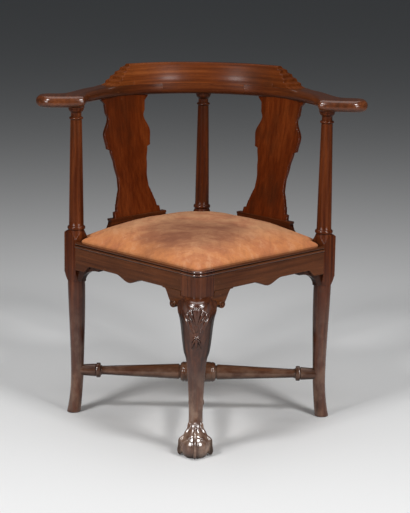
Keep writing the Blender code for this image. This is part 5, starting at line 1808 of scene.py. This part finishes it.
@dataclass
class Splats:
    """Two shaped splats that lean back from their moulded shoes to the arm."""

    thickness: float = 0.0085
    arris: float = 0.0014
    head: float = 0.270
    bend: float = 1.3
    foot_sunk: float = 0.004
    head_sunk: float = 0.003
    shoe_height: float = 0.033
    shoe_depth: float = 0.016
    outline: tuple[Pair, ...] = (
        (0.000, 0.0745), (0.045, 0.0735), (0.052, 0.0655), (0.105, 0.0628), (0.112, 0.0602),
        (0.165, 0.0560), (0.172, 0.0538), (0.235, 0.0476), (0.310, 0.0466), (0.440, 0.0520),
        (0.560, 0.0590), (0.575, 0.0690), (0.690, 0.0735), (0.830, 0.0570), (0.885, 0.0625),
        (0.945, 0.0640), (1.000, 0.0755),
    )

    @property
    def shoe_inner(self) -> float:
        """Inner face of a shoe, from the middle of the seat."""
        return PLAN.outer_face - PLAN.lip_width + PLAN.clearance

    @property
    def shoe_top(self) -> float:
        """Height of a shoe's top."""
        return PLAN.rail_top + PLAN.clearance + self.shoe_height

    def line(self, height: float) -> float:
        """How far a splat's middle lies from the middle of the seat at a height.

        Args:
            height: Height over the floor.

        Returns:
            The distance.
        """
        foot = self.shoe_inner + self.shoe_depth / 2
        share = min(max((height - self.shoe_top) / (PLAN.arm_underside - self.shoe_top), 0), 1)
        return self.head - (self.head - foot) * (1 - share) ** self.bend

    def splat_mesh(self, name: str, rail: Rail) -> Mesh:
        """One splat, with its edges eased.

        Args:
            name: The mesh's name.
            rail: The side of the seat.

        Returns:
            The mesh.
        """
        tall = PLAN.arm_underside - self.shoe_top
        rows = [(self.shoe_top - self.foot_sunk, self.outline[0][1])]
        for (share, half), (next_share, next_half) in zip(self.outline, self.outline[1:]):
            steps = 14 if next_share - share > 0.04 else 3
            for part in spread(steps)[:-1]:
                height = self.shoe_top + tall * between(share, next_share, part)
                rows.append((height, between(half, next_half, eased(part))))
        rows.append((PLAN.arm_underside + self.head_sunk, self.outline[-1][1]))
        rings = []
        for height, half in rows:
            line = self.line(height) - self.thickness / 2
            profile = rounded_section(half * 2, self.thickness, self.arris, self.arris, 3)
            rings.append([PLAN.rail(rail.value, x, line + y, height) for x, y in profile])
        return solid(name, rings, radians(50))

    def build(self) -> None:
        """Shape the splats, and dress them with their shoes."""
        splat = Mahogany(
            "splat_mahogany", Grain.UPRIGHT, deep=(0.050, 0.0085, 0.0016), body=(0.098, 0.0165, 0.0026),
            bright=(0.155, 0.032, 0.0058), start=4.1, wear=0.30,
        ).material()
        for name, rail in (("left", Rail.REAR_LEFT), ("right", Rail.REAR_RIGHT)):
            mesh = self.splat_mesh(name + "_shaped_splat", rail)
            frame_piece(mesh, splat, name + "_splat")
        left = Mahogany("left_shoe_mahogany", Grain.RIGHT_TO_FRONT, start=5.0).material()
        right = Mahogany("right_shoe_mahogany", Grain.LEFT_TO_FRONT, start=5.6).material()
        dress(left, "left_splat_shoe")
        dress(right, "right_splat_shoe")


@dataclass
class Stretchers:
    """The turned cross stretcher with its boss, and the two short ones that run into it."""

    sides: int = 48
    boss: float = 0.0248
    boss_half: float = 0.0415
    shaft: float = 0.0183
    thin: float = 0.0105
    ring_set: float = 0.0355
    end: float = 0.0135
    sunk: float = 0.010
    cone: float = 0.0153
    ring_rows: tuple[Pair, ...] = (
        (0.0060, 0.0140), (0.0055, 0.0140), (0.0052, 0.0162), (0.0046, 0.0172), (0.0030, 0.01775),
        (-0.0030, 0.01775), (-0.0046, 0.0172), (-0.0052, 0.0160), (-0.0055, 0.0130), (-0.0070, 0.0116),
        (-0.0095, 0.0107),
    )

    def arm(self, surface: float) -> list[Pair]:
        """Places and radii along one arm of a stretcher, from inside a leg in to its thick end.

        Args:
            surface: Where the leg's face is.

        Returns:
            The pairs.
        """
        ring = surface - self.ring_set
        rows = [(surface + self.sunk, self.end)]
        for share in spread(6):
            rows.append((between(surface, ring + 0.0066, share), between(self.end, self.cone, share)))
        rows += [(ring + place, radius) for place, radius in self.ring_rows]
        start, stop = ring - 0.012, self.boss_half + 0.0045
        for share in spread(20):
            rows.append((between(start, stop, share), between(self.thin, self.shaft, share)))
        return rows

    def boss_rows(self) -> list[Pair]:
        """Places and radii of half the boss, from its groove in to its middle.

        Returns:
            The pairs.
        """
        groove = self.shaft * 0.88
        rows = [(0.004, self.shaft * 0.97), (0.0032, groove), (0.0008, groove)]
        for share in spread(8):
            turn = pi / 2 * share
            rows.append((-0.0085 * (1 - cos(turn)), between(0.0182, 0.0236, sin(turn))))
        rows += [(-0.0095, 0.0229), (-0.0102, 0.0229), (-0.0110, 0.0238)]
        rows = [(self.boss_half + place, radius) for place, radius in rows]
        start = rows[-1][0]
        for share in spread(8)[1:]:
            rows.append((between(start, 0.002, share), between(0.0238, self.boss, sin(pi / 2 * share))))
        return rows

    def turned(self, name: str, rows: Sequence[Pair], across: bool) -> Mesh:
        """A turning along X or along Y, level with the stretchers.

        Args:
            name: The mesh's name.
            rows: Pairs of place and radius.
            across: Whether it runs along X.

        Returns:
            The mesh.
        """
        rings = []
        for place, radius in rows:
            ring = []
            for turn in turns(self.sides):
                beside = radius * cos(turn)
                height = PLAN.stretcher_height + radius * sin(turn)
                ring.append(PLAN.at(place, beside, height) if across else PLAN.at(beside, place, height))
            rings.append(ring)
        return solid(name, rings)

    def build(self, posts: CornerPosts, leg: FrontLeg) -> None:
        """Turn the three stretchers and dress them.

        Args:
            posts: The posts that they run into.
            leg: The front leg.
        """
        height = PLAN.stretcher_height
        side = PLAN.half_diagonal + posts.leg_shift(height) - posts.leg_radius(height)
        front = PLAN.half_diagonal + leg.station(height)[2]
        # Dark tone, with scuffs and a painted floor glow towards the floor.
        dust_and_floor_glow = {
            "body": (0.058, 0.0180, 0.0070), "bright": (0.110, 0.036, 0.0140),
            "scuff_and_glow_share": 0.50, "scuff_and_glow_top": 0.30, "wear": 0.6,
        }
        cross = Mahogany("cross_stretcher_mahogany", Grain.SIDEWAYS, start=6.2, **dust_and_floor_glow).material()
        short = Mahogany("short_stretcher_mahogany", Grain.FORWARD, start=7.4, **dust_and_floor_glow).material()
        half = self.arm(side) + self.boss_rows()
        rows = half + [(-place, radius) for place, radius in reversed(half)]
        mesh = self.turned("turned_cross_stretcher", rows, True)
        frame_piece(mesh, cross, "cross_stretcher")
        for name, way, surface in (("front", -1, front), ("rear", 1, side)):
            rows = self.arm(surface) + [(self.boss * 0.6, self.shaft)]
            rows = [(way * place, radius) for place, radius in rows]
            mesh = self.turned(f"turned_{name}_stretcher", rows, False)
            frame_piece(mesh, short, name + "_stretcher")


@dataclass
class DropInSeat:
    """The loose seat: leather drawn over crowned stuffing and turned in under its frame."""

    outer: float = 0.21056
    notch: float = 0.18356
    corner_radius: float = 0.012
    base: float = 0.4023
    edge: float = 0.42365
    pad_bottom: float = 0.42155
    crown: float = 0.050
    hide: float = 0.0018
    turn_in: float = 0.028
    cells: int = 84
    slack: float = 0.007
    cap: float = 0.009
    pressure: float = 4.0
    frames: int = 20
    stretch: float = 12.0
    bending: float = 2.0
    dents: tuple[Row, ...] = ((0.0011, 14, 3.0), (0.0005, 45, 9.0))
    pucker: float = 0.0007
    pucker_reach: float = 0.10
    pleats: float = 26.0

    def rim(self, u: float, v: float, inset: float) -> Pair:
        """Where a place on the edge of a square of half size 1 falls on the seat's plan.

        Args:
            u: Place along the seat's first side.
            v: Place along its second side.
            inset: How far inside the plan.

        Returns:
            The plan point along the seat's two sides.
        """
        outer, notch = self.outer - inset, self.notch - inset
        if u > 0 and v < 0:
            radius = max(self.corner_radius - inset, 0.003)
            middle = outer - radius
            p, q = u * outer, -v * outer
            if p > middle and q > middle:
                way = Vector((p - middle, q - middle)).normalized()
                p, q = middle + way.x * radius, middle + way.y * radius
            return p, -q
        p, q = u * outer, v * outer
        start = notch / outer
        if abs(u) > start and abs(v) > start:
            along = (min(abs(u), abs(v)) - start) / (1 - start)
            reach = between(outer, notch, along)
            if abs(u) >= abs(v):
                p, q = reach, notch
            else:
                p, q = notch, reach
            p, q = (p if u > 0 else -p), (q if v > 0 else -q)
        return p, q

    def crowned(self, u: float, v: float) -> Vector:
        """A point of the slack leather's top.

        Args:
            u: Place along the seat's first side.
            v: Place along its second.

        Returns:
            The point.
        """
        share = max(abs(u), abs(v))
        if share < 1e-9:
            return PLAN.square(0, 0, self.edge + self.crown - self.slack)
        p, q = self.rim(u / share, v / share, 0)
        reach = hypot(p, q)
        c, s = abs(p) / reach, abs(q) / reach
        soft = self.outer * (c**3 + s**3) ** (-1 / 3)
        keep = share**8
        drawn = share * between(soft, reach, keep) / reach
        level = self.edge + (self.crown - self.slack) * (1 - share**4.5) ** 0.9
        return PLAN.square(p * drawn, q * drawn, level)

    def slack_form(self) -> BMesh:
        """The slack leather over the stuffing, with its turned-in edge below.

        Returns:
            The skin, open below.
        """
        bm = bmesh.new()
        places = [2 * share - 1 for share in spread(self.cells)]
        grid = [[bm.verts.new(self.crowned(u, v)) for v in places] for u in places]
        n = self.cells
        for i in range(n):
            for j in range(n):
                bm.faces.new((grid[i][j], grid[i + 1][j], grid[i + 1][j + 1], grid[i][j + 1]))
        walk = [(i, 0) for i in range(n)] + [(n, j) for j in range(n)]
        walk += [(i, n) for i in range(n, 0, -1)] + [(0, j) for j in range(n, 0, -1)]
        above = [grid[i][j] for i, j in walk]
        under = self.base + self.hide
        for inset, height in (
            (0.0, self.edge - 0.006),
            (0.0, self.base + 0.004),
            (0.0, self.base + 0.001),
            (0.001, self.base),
            (0.010, self.base),
            (self.turn_in - 0.001, self.base),
            (self.turn_in, self.base + 0.0009),
            (self.turn_in - 0.001, under),
            (0.004, under),
            (self.hide, under + 0.002),
            (self.hide, self.pad_bottom - 0.002),
            (self.hide + 0.002, self.pad_bottom),
        ):
            below = []
            for i, j in walk:
                p, q = self.rim(places[i], places[j], inset)
                below.append(bm.verts.new(PLAN.square(p, q, height)))
            for k, corner in enumerate(above):
                m = (k + 1) % len(above)
                bm.faces.new((corner, above[m], below[m], below[k]))
            above = below
        return bm

    def closed(self, mesh: Mesh) -> Mesh:
        """The leather with its underside closed over the sacking.

        Args:
            mesh: The leather, open below.

        Returns:
            The mesh.
        """
        bm = bmesh.new()
        bm.from_mesh(mesh)
        rim = [edge for edge in bm.edges if edge.is_boundary]
        bmesh.ops.contextual_create(bm, geom=rim)
        return as_mesh("stuffed_leather_seat", bm, pi)

    def filled(self, mesh: Mesh) -> None:
        """Let the stuffing press the slack leather up, by cloth simulation.

        Args:
            mesh: The leather, which is changed.
        """
        obj = bpy.data.objects.new("leather_on_the_bench", mesh)
        scene = bpy.context.scene
        scene.collection.objects.link(obj)
        held = obj.vertex_groups.new(name="held")
        held.add([v.index for v in mesh.vertices if v.co.z < self.edge + 0.0004], 1.0, "REPLACE")
        cloth = obj.modifiers.new("stuffing", "CLOTH")
        cloth.settings.vertex_group_mass = "held"
        cloth.settings.use_pressure = True
        cloth.settings.uniform_pressure_force = self.pressure
        cloth.settings.effector_weights.gravity = 0
        cloth.settings.tension_stiffness = self.stretch
        cloth.settings.compression_stiffness = self.stretch
        cloth.settings.bending_stiffness = self.bending
        cloth.point_cache.frame_end = self.frames
        for step in range(1, self.frames + 1):
            scene.frame_set(step)
        graph = bpy.context.evaluated_depsgraph_get()
        pressed = [vert.co.copy() for vert in obj.evaluated_get(graph).data.vertices]
        scene.frame_set(1)
        bpy.data.objects.remove(obj)
        for vert, place in zip(mesh.vertices, pressed):
            move = place - vert.co
            if move.length > self.cap:
                move = move.normalized() * self.cap
            vert.co += move

    def settled(self, mesh: Mesh) -> None:
        """Bring the leather to its height, hollow it where it is sat on, and pucker its corners.

        Args:
            mesh: The leather, which is changed.
        """
        top = max(vert.co.z for vert in mesh.vertices)
        rise = self.crown / (top - self.edge)
        for vert in mesh.vertices:
            if vert.co.z <= self.edge:
                continue
            x, y = vert.co.x, vert.co.y - PLAN.shift
            level = (vert.co.z - self.edge) * rise
            share = min(level / self.crown, 1)
            dent = 0.0
            for deep, scale, layer in self.dents:
                dent += deep * noise.noise(Vector((x * scale, y * scale, layer)))
            away = hypot(x, y + 0.29)
            turn = Vector((x, y + 0.31)).angle_signed(Vector((0, 1)))
            pleat = self.pucker * sin(turn * self.pleats) if away > 0.001 else 0
            pleat = pleat * eased(1 - away / self.pucker_reach) * eased(level / 0.004)
            vert.co.z = self.edge + level + dent * eased(share * 2) + pleat

    def build(self) -> None:
        """Upholster the seat and dress what shows beneath it."""
        leather = WornLeather("seat_leather").material()
        slack = as_mesh("slack_leather", self.slack_form(), pi)
        self.filled(slack)
        self.settled(slack)
        mesh = self.closed(with_modifier(slack, "SUBSURF", levels=1, render_levels=1))
        seat = place_piece(mesh, leather, "drop_in_seat", "leather", "leather_cover", "stuffing_pad")
        first = BareBeech("seat_rail_beech", Grain.LEFT_TO_FRONT).material()
        second = BareBeech("short_seat_rail_beech", Grain.RIGHT_TO_FRONT).material()
        dress(first, "seat_rail_front_left", "seat_rail_rear_right")
        dress(second, "seat_rail_front_right", "seat_rail_rear_left")
        dress(Woven("strap_jute", 0.0022, (0.46, 0.34, 0.20), (0.17, 0.115, 0.06)).material(), "webbing")
        dress(Woven("sacking", 0.0016, (0.50, 0.40, 0.26), (0.20, 0.15, 0.09)).material(), "base_cloth")


@dataclass
class Studio:
    """Pale floor, two key lamps, two low soft boxes, an overhead, and the camera."""

    floor_reach: float = 40.0
    sensor: float = 36.0
    lens: float = 1739.8 / 513 * sensor
    camera_place: tuple[float, float, float] = (0.0535, -3.9780, 1.2711)
    yaw: float = radians(0.587)
    pitch: float = radians(12.508)
    roll: float = radians(0.826)
    ambient: float = 0.055
    room: Colour = (0.75, 0.80, 0.85)

    def floor(self) -> None:
        """Lay the floor."""
        bm = bmesh.new()
        bmesh.ops.create_grid(bm, x_segments=8, y_segments=8, size=self.floor_reach)
        mesh = as_mesh("studio_floor", bm)
        obj = bpy.data.objects.new("studio_floor", mesh)
        bpy.context.scene.collection.objects.link(obj)
        mesh.materials.append(PaleFloor("pale_floor").material())

    def lamp(self, name: str, place: Row, aim: Row, power: float, side: float) -> None:
        """Hang one soft square light.

        Args:
            name: The lamp's name.
            place: Where it hangs.
            aim: What it faces.
            power: Its power in watts.
            side: Its side.
        """
        data = bpy.data.lights.new(name, "AREA")
        data.shape = "RECTANGLE"
        data.size = side
        data.size_y = side
        data.energy = power
        obj = bpy.data.objects.new(name, data)
        bpy.context.scene.collection.objects.link(obj)
        obj.location = place
        obj.rotation_euler = (Vector(aim) - Vector(place)).to_track_quat("-Z", "Y").to_euler()

    def light(self) -> None:
        """Set the key lamps, the soft boxes, the overhead and the faint room light."""
        for name, side in (("left", -1), ("right", 1)):
            self.lamp(name + "_key", (side * 1.35, -1.55, 2.45), (0, 0, 0.35), power=30, side=0.50)
            self.lamp(name + "_soft_box", (side * 1.90, -2.10, 1.10), (0, 0, 0.45), power=29, side=0.90)
        self.lamp("overhead", (0, 0.50, 2.9), (0, 0.30, 0.4), power=23, side=2.4)
        world = bpy.data.worlds.new("studio_room")
        bpy.context.scene.world = world
        world.use_nodes = True
        shade = world.node_tree.nodes["Background"]
        shade.inputs["Color"].default_value = (*self.room, 1)
        shade.inputs["Strength"].default_value = self.ambient

    def camera(self) -> None:
        """Stand the camera at the photograph's angle."""
        right = Vector((cos(self.yaw), sin(self.yaw), 0))
        ahead = Vector((-sin(self.yaw), cos(self.yaw), 0))
        level = Vector((0, 0, 1))
        forward = ahead * cos(self.pitch) - level * sin(self.pitch)
        up = ahead * sin(self.pitch) + level * cos(self.pitch)
        side = right * cos(self.roll) + up * sin(self.roll)
        crown = up * cos(self.roll) - right * sin(self.roll)
        data = bpy.data.cameras.new("portrait_camera")
        data.sensor_width = self.sensor
        data.lens = self.lens
        obj = bpy.data.objects.new("portrait_camera", data)
        bpy.context.scene.collection.objects.link(obj)
        matrix = Matrix((side, crown, -forward)).transposed().to_4x4()
        matrix.translation = self.camera_place
        obj.matrix_world = matrix
        bpy.context.scene.camera = obj

    def build(self) -> None:
        """Set the studio up."""
        self.floor()
        self.light()
        self.camera()
        bpy.context.scene.view_settings.view_transform = "Standard"


def main() -> None:
    """Build the chair's sub-assemblies in order and set the studio round them."""
    logging.basicConfig(level=logging.INFO, format="%(message)s")
    posts = CornerPosts()
    leg = FrontLeg()
    posts.build()
    leg.build()
    SeatRails().build(leg)
    HorseshoeArm().build()
    Splats().build()
    Stretchers().build(posts, leg)
    DropInSeat().build()
    Studio().build()


if __name__ == "__main__":
    main()
